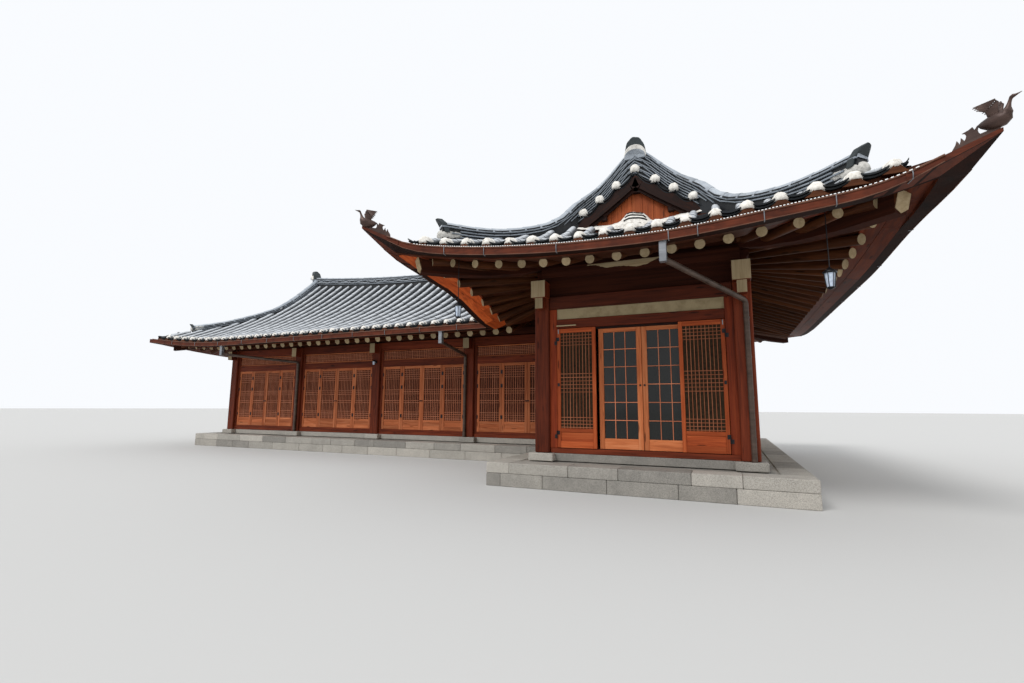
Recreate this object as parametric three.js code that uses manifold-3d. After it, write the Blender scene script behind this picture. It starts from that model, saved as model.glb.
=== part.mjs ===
// Hanok house: a small front hall with a hip and gable roof and a long lower wing to its left.
// Millimetres, +Z up. X runs along the front to the right, Y away from the viewer, Z = 0 at the ground.
import * as THREE from 'three';
import Module from 'manifold-3d';

const wasm = await Module();
wasm.setup();

// Plan of the walls (column axes)
const HALL_HALF = 1500;
const HALL_FRONT = 0;
const WING_FRONT = 3000;
const RIDGE_Y = 5300;
const REAR = 7600;
const WING_COLUMNS = [-12850, -10150, -7330, -4495, -HALL_HALF];
const WING_END = WING_COLUMNS[0];

// Plan of the roof (ends of the tiles)
const EAVE_X = 3160;
const EAVE_FRONT = -1660;
const WING_EAVE = 1540;
const REAR_EAVE = 9060;
const LEFT_EAVE = -14310;
const HALL_RUN = 3160;
const WING_RUN = 3760;
const GABLE_Y = 360;
const WING_GABLE_X = -12250;

// Heights
const PLINTH_TOP = 350;
const STONE_TOP = 470;
const FLOOR_TOP = 550;
const HALL_EAVE_Z = 3310;
const WING_DROP = 340;
const RIDGE_Z = 5060;
const RIDGE_LIFT = 370;
const HALL_LINTEL = [2780, 2990];
const HALL_PURLIN_Z = 3430;
const WING_LINTEL = [2680, 2879];
const WING_PURLIN_Z = 3000;
const HALL_HEAD = [2460, 2610];
const HALL_BAND = [2612, 2778];
const WING_DOOR_TOP = 2235;
const WING_TRANSOM = [2405, 2670];

// Sections
const POST = 240;
const PURLIN_R_HALL = 130;
const PURLIN_R_WING = 120;
const SEAT = 0.3;
const SLIVER = 0.04;
const CORNERS = [
  { x: EAVE_X, y: EAVE_FRONT, rise: 330 },
  { x: -EAVE_X, y: EAVE_FRONT, rise: 330 },
  { x: EAVE_X, y: REAR_EAVE, rise: 200 },
  { x: LEFT_EAVE, y: REAR_EAVE, rise: 220 },
  { x: LEFT_EAVE, y: WING_EAVE, rise: 220 },
];
const EDGE_DEPTH = 160;
const GABLE_SHARE = (GABLE_Y - EAVE_FRONT) / HALL_RUN;
const WING_GABLE_SHARE = (WING_GABLE_X - LEFT_EAVE) / WING_RUN;
const FRONT_SINK = 150;
const CORNER_REACH = 3000;
const FLARE = 85;
const FLARE_REACH = 2500;

const COLOURS = {
  wood: [0x5a2a17, 0.62],
  frame: [0x6b3420, 0.6],
  door: [0xa85a2a, 0.55],
  plaster: [0xcdbf9f, 0.9],
  tile: [0x4d5258, 0.75],
  ridge: [0x5b6066, 0.75],
  copper: [0x6e3a28, 0.45],
  stone: [0x9a948a, 0.9],
  glass: [0x2b3338, 0.15],
  gable: [0x9c4a26, 0.65],
  bronze: [0x4a3a34, 0.5],
  iron: [0x2d3133, 0.5],
  pipe: [0x6f6257, 0.5],
};

const group = new THREE.Group();

// Small helpers
const clamp = (value, low, high) => Math.min(high, Math.max(low, value));

function smooth(from, to, value) {
  const t = clamp((value - from) / (to - from), 0, 1);
  return t * t * (3 - 2 * t);
}

// Negative when the faces point inwards, so that a drawn section can run either way
function signedVolume(points, triangles) {
  const corner = (k) => new THREE.Vector3(points[3 * k], points[3 * k + 1], points[3 * k + 2]);
  let sum = 0;
  for (let i = 0; i < triangles.length; i += 3) {
    const [a, b, c] = [corner(triangles[i]), corner(triangles[i + 1]), corner(triangles[i + 2])];
    sum += a.dot(b.cross(c));
  }
  return sum / 6;
}

function solid(geometry) {
  geometry.deleteAttribute('normal');
  geometry.deleteAttribute('uv');
  const position = geometry.getAttribute('position');
  const index = geometry.getIndex();
  const seen = new Map();
  const points = [];
  const remap = [];
  for (let i = 0; i < position.count; i += 1) {
    const p = [position.getX(i), position.getY(i), position.getZ(i)].map((v) => Math.round(v * 1e3) / 1e3);
    const key = p.join(',');
    if (!seen.has(key)) {
      seen.set(key, points.length / 3);
      points.push(...p);
    }
    remap.push(seen.get(key));
  }
  const order = index ? Array.from(index.array) : Array.from({ length: position.count }, (_, i) => i);
  const triangles = [];
  for (let i = 0; i < order.length; i += 3) {
    const [a, b, c] = [remap[order[i]], remap[order[i + 1]], remap[order[i + 2]]];
    if (a !== b && b !== c && a !== c) {
      triangles.push(a, b, c);
    }
  }
  if (signedVolume(points, triangles) < 0) {
    triangles.reverse();
  }
  return new wasm.Manifold(new wasm.Mesh({
    numProp: 3,
    vertProperties: new Float32Array(points),
    triVerts: new Uint32Array(triangles),
  }));
}

function box(x0, x1, y0, y1, z0, z1) {
  const geometry = new THREE.BoxGeometry(x1 - x0, y1 - y0, z1 - z0);
  geometry.translate((x0 + x1) / 2, (y0 + y1) / 2, (z0 + z1) / 2);
  return solid(geometry);
}

// A box whose points are moved by a function of three fractions from 0 to 1
function bentBox(nu, nv, nw, place) {
  const geometry = new THREE.BoxGeometry(1, 1, 1, nu, nv, nw);
  const position = geometry.getAttribute('position');
  for (let i = 0; i < position.count; i += 1) {
    const [x, y, z] = place(position.getX(i) + 0.5, position.getY(i) + 0.5, position.getZ(i) + 0.5);
    position.setXYZ(i, x, y, z);
  }
  return solid(geometry);
}

// An outline of points (a, b) drawn along a path: place(a, b, t) gives the point in space
function sweep(outline, steps, place) {
  const shape = new THREE.Shape(outline.map(([a, b]) => new THREE.Vector2(a, b)));
  const geometry = new THREE.ExtrudeGeometry(shape, { depth: 1, steps, bevelEnabled: false });
  const position = geometry.getAttribute('position');
  for (let i = 0; i < position.count; i += 1) {
    const [x, y, z] = place(position.getX(i), position.getY(i), position.getZ(i));
    position.setXYZ(i, x, y, z);
  }
  return solid(geometry);
}

function prism(outline, depth) {
  const shape = new THREE.Shape(outline.map(([a, b]) => new THREE.Vector2(a, b)));
  return solid(new THREE.ExtrudeGeometry(shape, { depth, bevelEnabled: false }));
}

function join(parts) {
  return parts.reduce((sum, part) => sum.add(part));
}

function cut(part, cutters) {
  return cutters.reduce((rest, cutter) => rest.subtract(cutter), part);
}

function largest(part) {
  const pieces = part.decompose();
  return pieces.reduce((best, piece) => (piece.volume() > best.volume() ? piece : best));
}

function emit(name, part, colour) {
  const mesh = largest(largest(part).simplify(SLIVER)).getMesh();
  const geometry = new THREE.BufferGeometry();
  geometry.setAttribute('position', new THREE.BufferAttribute(Float32Array.from(mesh.vertProperties), 3));
  geometry.setIndex(Array.from(mesh.triVerts));
  geometry.computeVertexNormals();
  const [color, roughness] = COLOURS[colour];
  const metalness = colour === 'copper' || colour === 'bronze' ? 0.4 : 0;
  const object = new THREE.Mesh(geometry, new THREE.MeshStandardMaterial({ color, roughness, metalness }));
  object.name = name;
  group.add(object);
}

// Roof form
function profile(t) {
  return 0.605 * t + 0.395 * t * t;
}

function eaveHeight(x, y) {
  const drop = (1 - smooth(-3300, -1000, x)) * smooth(-300, WING_EAVE, y);
  return HALL_EAVE_Z - WING_DROP * drop;
}

function ridgeHeight(x) {
  const past = Math.max(0, (-6000 - x) / 6100);
  return RIDGE_Z + RIDGE_LIFT * past * past;
}

function cornerRise(x, y) {
  return CORNERS.reduce((sum, corner) => {
    const near = Math.max(0, 1 - Math.hypot(x - corner.x, y - corner.y) / CORNER_REACH);
    return sum + corner.rise * near * near;
  }, 0);
}

function roofZ(x, y, t) {
  const eave = eaveHeight(x, y);
  return eave + (ridgeHeight(x) - eave) * profile(t) + cornerRise(x, y);
}

// The roof is thin over the verges of the two gables
function roofDepth(x, y, t) {
  const hallThick = x > -EAVE_X && t > GABLE_SHARE ? smooth(GABLE_Y + 350, GABLE_Y + 900, y) : 1;
  const wingThick = t > WING_GABLE_SHARE ? smooth(WING_GABLE_X + 350, WING_GABLE_X + 900, x) : 1;
  return EDGE_DEPTH + 190 * Math.min(t / 0.5, 1) * hallThick * wingThick;
}

// Corners of the eaves stand out a little in plan
function flare(x, y) {
  return CORNERS.reduce(([fx, fy], corner) => {
    const near = Math.max(0, 1 - Math.hypot(x - corner.x, y - corner.y) / FLARE_REACH);
    const outX = corner.x > 0 ? 1 : -1;
    const outY = corner.y > RIDGE_Y ? 1 : -1;
    return [fx + outX * FLARE * near * near, fy + outY * FLARE * near * near];
  }, [x, y]);
}

// Share of the way from the eave to the ridge at any point of the plan
function roofShare(x, y) {
  const hallSide = 1 - Math.abs(x) / HALL_RUN;
  const rear = (REAR_EAVE - y) / WING_RUN;
  const front = y < GABLE_Y ? (y - EAVE_FRONT) / HALL_RUN : 1;
  const hall = Math.min(hallSide, rear, front);
  const left = x < WING_GABLE_X ? (x - LEFT_EAVE) / WING_RUN : 1;
  const right = 1 - x / HALL_RUN;
  const wing = Math.min((y - WING_EAVE) / WING_RUN, rear, left, x > 0 ? right : 1);
  return clamp(Math.max(hall, wing), 0, 1);
}

function topZ(x, y) {
  return roofZ(x, y, roofShare(x, y));
}

// Stations along each eave, closer together towards the raised corners; roof and gutter share them
const HALF_STATIONS = [0, 0.035, 0.075, 0.125, 0.19, 0.28, 0.39, 0.5];
const mirrored = (half) => [...half, ...half.slice(0, -1).reverse().map((u) => 1 - u)];
const FRONT_STATIONS = mirrored(HALF_STATIONS);
const RIGHT_STATIONS = [0, 0.02, 0.045, 0.075, 0.115, 0.17, 0.24, 0.33, 0.45, 0.57, 0.68, 0.78, 0.86, 0.92,
  0.96, 1];
const LEFT_STATIONS = [0, 0.14, 0.28, 0.42, 0.54, 0.64, 0.73, 0.81, 0.88, 0.94, 1];
const WING_STATIONS = [0, 0.03, 0.07, 0.12, 0.18, 0.26, 0.36, 0.48, 0.6, 0.72, 0.84, 0.93, 1];
const REAR_STATIONS = mirrored([0, 0.02, 0.05, 0.09, 0.14, 0.2, 0.29, 0.39, 0.5]);
const END_STATIONS = mirrored([0, 0.05, 0.11, 0.19, 0.29, 0.39, 0.5]);

// One roof face between two boundary lines; line(t) gives the two ends at the share t
function roofFace(stations, shares, ends, sink = () => 0) {
  const nu = stations.length - 1;
  const nv = shares.length - 1;
  return bentBox(nu, nv, 1, (u, v, w) => {
    const t = shares[Math.round(v * nv)];
    const along = stations[Math.round(u * nu)];
    const [[ax, ay], [bx, by]] = ends(t);
    const x = ax + (bx - ax) * along;
    const y = ay + (by - ay) * along;
    const z = roofZ(x, y, t) - sink(x, t) - (1 - w) * roofDepth(x, y, t);
    const [fx, fy] = flare(x, y);
    return [fx, fy, z];
  });
}

function shareList(breaks, count) {
  const list = [];
  for (let i = 0; i < breaks.length - 1; i += 1) {
    const steps = Math.max(1, Math.round(count * (breaks[i + 1] - breaks[i])));
    for (let k = 0; k < steps; k += 1) {
      list.push(breaks[i] + (breaks[i + 1] - breaks[i]) * k / steps);
    }
  }
  list.push(breaks[breaks.length - 1]);
  return list;
}

const GAP = 0.2;
const hipY = (t) => EAVE_FRONT + HALL_RUN * t;
const sideX = (t) => HALL_RUN * (1 - t);
const sideStart = (t) => Math.min(hipY(t), GABLE_Y);
const wingLeft = (t) => Math.min(LEFT_EAVE + WING_RUN * t, WING_GABLE_X);

const rightFace = roofFace(RIGHT_STATIONS, shareList([0, GABLE_SHARE, 1], 8), (t) => [
  [Math.max(sideX(t), GAP), sideStart(t) + (t < GABLE_SHARE ? GAP : 0)],
  [Math.max(sideX(t), GAP), REAR_EAVE - WING_RUN * t - GAP],
]);
const leftFace = roofFace(LEFT_STATIONS, shareList([0, GABLE_SHARE, 1], 8), (t) => [
  [-Math.max(sideX(t), GAP), WING_EAVE + WING_RUN * t - GAP],
  [-Math.max(sideX(t), GAP), sideStart(t) + (t < GABLE_SHARE ? GAP : 0)],
]);
const wingFrontFace = roofFace(WING_STATIONS, shareList([0, WING_GABLE_SHARE, 1], 8), (t) => [
  [wingLeft(t) + (t < WING_GABLE_SHARE ? GAP : 0), Math.min(WING_EAVE + WING_RUN * t, RIDGE_Y - GAP)],
  [-sideX(t) - GAP, Math.min(WING_EAVE + WING_RUN * t, RIDGE_Y - GAP)],
]);
const rearFace = roofFace(REAR_STATIONS, shareList([0, WING_GABLE_SHARE, 1], 7), (t) => [
  [sideX(t) - GAP, Math.max(REAR_EAVE - WING_RUN * t, RIDGE_Y + GAP)],
  [wingLeft(t) + (t < WING_GABLE_SHARE ? GAP : 0), Math.max(REAR_EAVE - WING_RUN * t, RIDGE_Y + GAP)],
]);
// The front face sags a little between its two hips
function frontSink(x, t) {
  const across = x / sideX(t);
  return FRONT_SINK * Math.min(1, t / GABLE_SHARE) * Math.max(0, 1 - across * across);
}

const frontRaw = roofFace(FRONT_STATIONS, shareList([0, GABLE_SHARE, 0.76], 8), (t) => [
  [-sideX(t) + GAP, hipY(t)],
  [sideX(t) - GAP, hipY(t)],
], frontSink);
const leftEndRaw = roofFace(END_STATIONS, shareList([0, WING_GABLE_SHARE, 0.66], 8), (t) => [
  [LEFT_EAVE + WING_RUN * t, REAR_EAVE - WING_RUN * t - GAP],
  [LEFT_EAVE + WING_RUN * t, WING_EAVE + WING_RUN * t + GAP],
]);
const lowered = (part, dz) => part.translate([0, 0, dz]);
const frontFace = largest(cut(frontRaw, [
  lowered(rightFace, -SEAT), lowered(leftFace, -SEAT), rightFace, leftFace,
]));
const leftEndFace = largest(cut(leftEndRaw, [
  lowered(wingFrontFace, -SEAT), lowered(rearFace, -SEAT), wingFrontFace, rearFace,
]));
const FACES = [frontFace, rightFace, leftFace, wingFrontFace, rearFace, leftEndFace];

// Copies of a part moved by the seating gap each way, to cut its neighbours clear of it
const around = (part) => [part, ...[[1, 0, 0], [-1, 0, 0], [0, 1, 0], [0, -1, 0], [0, 0, 1], [0, 0, -1]]
  .map((way) => part.translate(way.map((step) => step * SEAT)))];

// The roof grown by the seating gap downwards, upwards and to all four sides
const ROOF_SEAT = 0.45;
const SIDEWAYS = [[ROOF_SEAT, 0], [-ROOF_SEAT, 0], [0, ROOF_SEAT], [0, -ROOF_SEAT]];
const grown = (dz) => FACES.flatMap((face) => [face, lowered(face, dz),
  ...SIDEWAYS.map(([dx, dy]) => face.translate([dx, dy, 0]))]);
const UNDER_CUTTERS = grown(-ROOF_SEAT);
const OVER_CUTTERS = grown(ROOF_SEAT);
const under = (part) => cut(part, UNDER_CUTTERS);
const over = (part) => cut(part, OVER_CUTTERS);

emit('hall_front_roof', frontFace, 'tile');
emit('hall_right_roof', rightFace, 'tile');
emit('hall_left_roof', leftFace, 'tile');
emit('wing_front_roof', wingFrontFace, 'tile');
emit('rear_roof', rearFace, 'tile');
emit('wing_end_roof', leftEndFace, 'tile');

// Ground works: an L-shaped plinth with low sill walls and a stone under each post
function lShape(margin, z0, z1) {
  return join([
    box(WING_END - margin, HALL_HALF + margin, WING_FRONT - margin, REAR + margin, z0, z1),
    box(-HALL_HALF - margin, HALL_HALF + margin, HALL_FRONT - margin, REAR + margin, z0, z1),
  ]);
}

const RIGHT_POSTS = [WING_FRONT, RIDGE_Y, REAR];
const POSTS = [
  [-HALL_HALF, HALL_FRONT], [HALL_HALF, HALL_FRONT],
  ...WING_COLUMNS.map((x) => [x, WING_FRONT]),
  ...RIGHT_POSTS.map((y) => [HALL_HALF, y]),
  ...WING_COLUMNS.map((x) => [x, REAR]),
  [WING_END, RIDGE_Y],
];
const PLINTH_MARGIN = 700;
const STONE_HALF = 210;
const SILL_HALF = 60;
const SILL_BOTTOM = STONE_TOP;
const WALL_THICK = 90;

function wallRun(x0, y0, x1, y1, half, z0, z1) {
  return box(Math.min(x0, x1) - half, Math.max(x0, x1) + half, Math.min(y0, y1) - half,
    Math.max(y0, y1) + half, z0, z1);
}

const WALL_LINES = [
  [-HALL_HALF, HALL_FRONT, HALL_HALF, HALL_FRONT],
  [HALL_HALF, HALL_FRONT, HALL_HALF, REAR],
  [WING_END, REAR, HALL_HALF, REAR],
  [WING_END, WING_FRONT, WING_END, REAR],
  [WING_END, WING_FRONT, -HALL_HALF, WING_FRONT],
  [-HALL_HALF, HALL_FRONT, -HALL_HALF, WING_FRONT],
];
const postStones = POSTS.map(([x, y]) => box(x - STONE_HALF, x + STONE_HALF, y - STONE_HALF, y + STONE_HALF,
  PLINTH_TOP - 1, STONE_TOP));
const sillStones = WALL_LINES.map((line) => wallRun(...line, SILL_HALF, PLINTH_TOP - 1, SILL_BOTTOM));
emit('stone_plinth', join([lShape(PLINTH_MARGIN, 0, PLINTH_TOP), ...postStones, ...sillStones]), 'stone');

// Floor boards inside the walls
const floorCutters = [
  ...POSTS.map(([x, y]) => box(x - STONE_HALF - SEAT, x + STONE_HALF + SEAT, y - STONE_HALF - SEAT,
    y + STONE_HALF + SEAT, PLINTH_TOP - 2, FLOOR_TOP + 1)),
];
emit('floor_boards', cut(lShape(-WALL_THICK - SEAT, PLINTH_TOP + SEAT, FLOOR_TOP), floorCutters), 'wood');

// Timber frames
function post(x, y, top) {
  return box(x - POST / 2, x + POST / 2, y - POST / 2, y + POST / 2, STONE_TOP + SEAT, top);
}

function beamX(x0, x1, y, half, [z0, z1]) {
  return box(x0, x1, y - half, y + half, z0, z1);
}

const SILL = [SILL_BOTTOM + SEAT, FLOOR_TOP];
const JAMB_HALF = 60;
const JAMB_WIDTH = 120;

// Beam end over a hall post, a wide block on a narrow one
function hallBeamEnd(x) {
  return join([
    box(x - 122, x + 122, -300, -52, 2955, 3235),
    box(x - 66, x + 66, -260, -100, 2778, 2960),
  ]);
}

const hallJambs = [-1, 1].map((side) => {
  const outer = side * (HALL_HALF - POST / 2 + 1);
  const inner = side * (HALL_HALF - POST / 2 - JAMB_WIDTH);
  return box(Math.min(outer, inner), Math.max(outer, inner), -JAMB_HALF, JAMB_HALF, FLOOR_TOP - 1,
    HALL_LINTEL[0] + 1);
});
// Hinge knuckles of the outer leaves: the leaf's knuckle stands on the jamb's, arms reach to each
const HINGE_X = HALL_HALF - POST / 2 - JAMB_WIDTH - 3;
const HINGE_Y = -86;
const HINGE_HEIGHTS = [760, 2250];
const KNUCKLE = 60;
const KNUCKLE_R = 8;

function sideBox(side, a0, a1, y0, y1, z0, z1) {
  return box(Math.min(side * a0, side * a1), Math.max(side * a0, side * a1), y0, y1, z0, z1);
}

function knuckle(side, z0, z1, plate) {
  const barrel = new THREE.CylinderGeometry(KNUCKLE_R, KNUCKLE_R, z1 - z0, 8);
  barrel.rotateX(Math.PI / 2);
  barrel.translate(side * HINGE_X, HINGE_Y, (z0 + z1) / 2);
  const [near, far, back] = plate;
  return join([
    solid(barrel),
    sideBox(side, HINGE_X, far, HINGE_Y - KNUCKLE_R, HINGE_Y + 6, z0, z1),
    sideBox(side, near, far, HINGE_Y - 2, back, z0, z1),
  ]);
}

const jambKnuckles = (side) => HINGE_HEIGHTS.map((z) => knuckle(side, z - KNUCKLE, z,
  [HINGE_X + 5, HINGE_X + 43, -JAMB_HALF + 1]));
const leafKnuckles = (side, face) => HINGE_HEIGHTS.map((z) => knuckle(side, z + SEAT, z + KNUCKLE,
  [HINGE_X - 7, HINGE_X - 42, face + 1]));
const SLIDE_RAIL = [-3, 7];

emit('hall_front_frame', join([
  box(-HINGE_X, HINGE_X, ...SLIDE_RAIL, FLOOR_TOP - 1, FLOOR_TOP + 8 - SEAT),
  ...jambKnuckles(-1),
  ...jambKnuckles(1),
  post(-HALL_HALF, HALL_FRONT, HALL_LINTEL[1]),
  post(HALL_HALF, HALL_FRONT, HALL_LINTEL[1]),
  beamX(-HALL_HALF, HALL_HALF, 0, SILL_HALF, SILL),
  beamX(-HALL_HALF, HALL_HALF, 0, JAMB_HALF, HALL_HEAD),
  beamX(-HALL_HALF, HALL_HALF, 0, 90, HALL_LINTEL),
  ...hallJambs,
  hallBeamEnd(-HALL_HALF),
  hallBeamEnd(HALL_HALF),
]), 'frame');
const BAND_END = HALL_HALF - POST / 2 - JAMB_WIDTH - SEAT;
emit('hall_plaster_band', beamX(-BAND_END, BAND_END, 0, 40,
  [HALL_BAND[0] - 2 + SEAT, HALL_BAND[1] + 2 - SEAT]), 'plaster');

// Hall doors: two hinged lattice leaves outside, two sliding glass leaves between and behind them
const LEAF_BOTTOM = FLOOR_TOP + 8;
const LEAF_TOP = HALL_HEAD[0] - 8;
const GLASS_TOP = HALL_HEAD[0] - 38;
const LATTICE_WIDTH = 632;
const LATTICE_Y = [-72, -30];
const GLASS_Y = [-18, 22];
const LATTICE_EDGE = HALL_HALF - POST / 2 - JAMB_WIDTH - 6;
const GLASS_STILE = 75;
const GLASS_RAIL = 62;

function openFrame([x0, x1, y0, y1, z0, z1], stile, rail, rails) {
  const outer = box(x0, x1, y0, y1, z0, z1);
  const bars = rails.map((z) => box(x0 + 1, x1 - 1, y0, y1, z - rail / 2, z + rail / 2));
  const hole = box(x0 + stile, x1 - stile, y0 - 1, y1 + 1, z0 + rail, z1 - rail);
  return join([outer.subtract(hole), ...bars]);
}

function bars(positions, along, half, x0, x1, y0, y1, z0, z1) {
  return positions.map((p) => (along === 'z'
    ? box(p - half, p + half, y0, y1, z0, z1)
    : box(x0, x1, y0, y1, p - half, p + half)));
}

function spaced(from, to, count) {
  return Array.from({ length: count }, (_, i) => from + (to - from) * (i + 1) / (count + 1));
}

const KICK = 860;
function latticeLeaf(x0, x1, side) {
  const [y0, y1] = LATTICE_Y;
  const frame = openFrame([x0, x1, y0, y1, LEAF_BOTTOM, LEAF_TOP], 50, 50, [KICK]);
  const uprights = bars(spaced(x0 + 50, x1 - 50, 4), 'z', 7, 0, 0, y0 + 6, y1 - 22, KICK, LEAF_TOP - 49);
  const heights = [LEAF_TOP - 200, 1630, 1045];
  const rows = bars(heights, 'x', 6, x0 + 49, x1 - 49, y0 + 6, y1 - 22, 0, 0);
  const kick = box(x0 + 49, x1 - 49, y0 + 14, y1 - 10, LEAF_BOTTOM + 49, KICK);
  const backing = box(x0 + 49, x1 - 49, y1 - 23, y1 - 15, KICK, LEAF_TOP - 49);
  return join([frame, kick, backing, ...uprights, ...rows, ...leafKnuckles(side, y0)]);
}

function glassLeaf(x0, x1) {
  const [y0, y1] = GLASS_Y;
  const [inner0, inner1] = [x0 + GLASS_STILE - 1, x1 - GLASS_STILE + 1];
  const frame = openFrame([x0, x1, y0, y1, LEAF_BOTTOM, GLASS_TOP], GLASS_STILE, GLASS_RAIL, [690]);
  const high = GLASS_TOP - GLASS_RAIL + 1;
  const uprights = bars(spaced(inner0, inner1, 2), 'z', 8, 0, 0, y0 + 4, y1 - 20, 690, high);
  const rows = bars([2087, 1813, 1540, 1267, 994], 'x', 8, inner0, inner1, y0 + 4, y1 - 20, 0, 0);
  const kick = box(inner0, inner1, y0 + 12, y1 - 12, LEAF_BOTTOM + GLASS_RAIL - 1, 690);
  return join([frame, kick, ...uprights, ...rows]);
}

const leafLeft = [-LATTICE_EDGE, -LATTICE_EDGE + LATTICE_WIDTH];
const leafRight = [LATTICE_EDGE - LATTICE_WIDTH, LATTICE_EDGE];
const glassLeft = [-586, 74];
const glassRight = [80, 740];
emit('lattice_door_left', latticeLeaf(...leafLeft, -1), 'door');
emit('lattice_door_right', latticeLeaf(...leafRight, 1), 'door');
emit('glass_door_left', glassLeaf(...glassLeft), 'door');
emit('glass_door_right', glassLeaf(...glassRight), 'door');

function sheet(x0, x1, y, z0) {
  return box(x0 + GLASS_STILE + SEAT, x1 - GLASS_STILE - SEAT, y, y + 6, z0 + SEAT,
    GLASS_TOP - GLASS_RAIL - SEAT);
}

emit('door_glass_left', sheet(...glassLeft, GLASS_Y[1] - 19, 690 + GLASS_RAIL / 2), 'glass');
emit('door_glass_right', sheet(...glassRight, GLASS_Y[1] - 19, 690 + GLASS_RAIL / 2), 'glass');

// Wing front: posts, sill and lintel with the beam ends, then one set of doors a bay
function wingBeamEnd(x) {
  return box(x - 85, x + 85, WING_FRONT - 300, WING_FRONT - 60, 2590, 2850);
}

emit('wing_front_frame', join([
  ...WING_COLUMNS.map((x) => post(x, WING_FRONT, WING_LINTEL[1])),
  beamX(WING_END, -HALL_HALF, WING_FRONT, SILL_HALF, SILL),
  beamX(WING_END, -HALL_HALF, WING_FRONT, 90, WING_LINTEL),
  ...WING_COLUMNS.slice(0, 4).map(wingBeamEnd),
]), 'frame');

function pocketLeaf(x0, x1, y0, y1, z0, z1, stile) {
  const front = box(x0 + stile, x1 - stile, y0 - 1, y0 + 13, z0 + stile, z1 - stile);
  const back = box(x0 + stile, x1 - stile, y1 - 13, y1 + 1, z0 + stile, z1 - stile);
  return box(x0, x1, y0, y1, z0, z1).subtract(front).subtract(back);
}

function wingBay(index) {
  const x0 = WING_COLUMNS[index] + POST / 2 + SEAT;
  const x1 = WING_COLUMNS[index + 1] - POST / 2 - SEAT;
  const z0 = FLOOR_TOP + SEAT;
  const z1 = WING_LINTEL[0] - SEAT;
  const jamb = 65;
  const back = WING_FRONT + 50;
  const surround = box(x0, x1, WING_FRONT - 50, back, z0, z1)
    .subtract(box(x0 + jamb, x1 - jamb, WING_FRONT - 51, back + 1, z0 + 50, WING_DOOR_TOP))
    .subtract(box(x0 + jamb, x1 - jamb, WING_FRONT - 51, back + 1, ...WING_TRANSOM));
  const width = (x1 - x0 - 2 * jamb) / 4;
  const leaves = [0, 1, 2, 3].map((k) => {
    const start = x0 + jamb + k * width;
    return pocketLeaf(start - 1, start + width + 1, WING_FRONT - 36, WING_FRONT,
      z0 + 49, WING_DOOR_TOP + 1, 48);
  });
  const transom = pocketLeaf(x0 + jamb - 1, x1 - jamb + 1, WING_FRONT - 30, WING_FRONT + 6,
    WING_TRANSOM[0] - 1, WING_TRANSOM[1] + 1, 30);
  return join([surround, ...leaves, transom]);
}

[0, 1, 2, 3].forEach((index) => emit(`wing_doors_${index + 1}`, wingBay(index), 'door'));

// Plain sides: posts and rails outside, one wall board behind them with its windows cut through
const WINDOW_Z = [1150, 2250];
const WINDOW_HALF = 600;
const RAIL_DEPTH = 80;
const HALL_TOP = HALL_LINTEL[1];
const WING_TOP = WING_LINTEL[1];
const RAILS = [[SILL_BOTTOM + SEAT, FLOOR_TOP], [1030, 1150], [2250, 2370]];

// A box given by a span along the wall and an offset outwards from the wall axis
function wallBox(axis, fixed, out, span, offset, heights) {
  const [o0, o1] = [fixed + out * offset[0], fixed + out * offset[1]].sort((a, b) => a - b);
  return axis === 'y'
    ? box(o0, o1, span[0], span[1], heights[0], heights[1])
    : box(span[0], span[1], o0, o1, heights[0], heights[1]);
}

function sideFrame(axis, fixed, out, span, posts, top) {
  const uprights = posts.map((p) => {
    const width = [Math.max(span[0], p - POST / 2), Math.min(span[1], p + POST / 2)];
    return wallBox(axis, fixed, out, width, [SEAT, POST / 2], [STONE_TOP + SEAT, top]);
  });
  const rails = [...RAILS, [top - 200, top]].map((heights) => wallBox(axis, fixed, out, span,
    [SEAT, RAIL_DEPTH], heights));
  return join([...uprights, ...rails]);
}

function wallBoard(axis, fixed, out, span, windows, top) {
  const board = wallBox(axis, fixed, out, span, [-WALL_THICK, 0], [SILL_BOTTOM + SEAT, top]);
  return cut(board, windows.map((p) => wallBox(axis, fixed, out, [p - WINDOW_HALF, p + WINDOW_HALF],
    [-WALL_THICK - 1, 1], WINDOW_Z)));
}

// A window: a frame with a pocketed pair of leaves
function windowUnit(axis, fixed, out, middle) {
  const span = [middle - WINDOW_HALF + SEAT, middle + WINDOW_HALF - SEAT];
  const heights = [WINDOW_Z[0] + SEAT, WINDOW_Z[1] - SEAT];
  const block = wallBox(axis, fixed, out, span, [-70, -20], heights);
  const pockets = [-1, 1].flatMap((side) => [[-71, -55], [-35, -19]].map((offset) => wallBox(axis, fixed, out,
    side < 0 ? [span[0] + 60, middle - 45] : [middle + 45, span[1] - 60], offset,
    [heights[0] + 60, heights[1] - 60])));
  return cut(block, pockets);
}

const rightSpan = [POST / 2 + SEAT, REAR + POST / 2];
const rearSpan = [WING_END, HALL_HALF - WALL_THICK - SEAT];
const rearFrameSpan = [WING_END - POST / 2, HALL_HALF - WALL_THICK - SEAT];
const endSpan = [WING_FRONT + POST / 2 + SEAT, REAR - WALL_THICK - SEAT];
const endFrameSpan = [WING_FRONT + POST / 2 + SEAT, REAR - SEAT];
const hallLeftSpan = [POST / 2 + SEAT, WING_FRONT - POST / 2 - SEAT];
const RIGHT_WINDOWS = [1500, 6450];
const REAR_WINDOWS = [-8750, -3025];
const END_WINDOW = 6450;
const LEFT_WINDOW = 1500;

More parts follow.
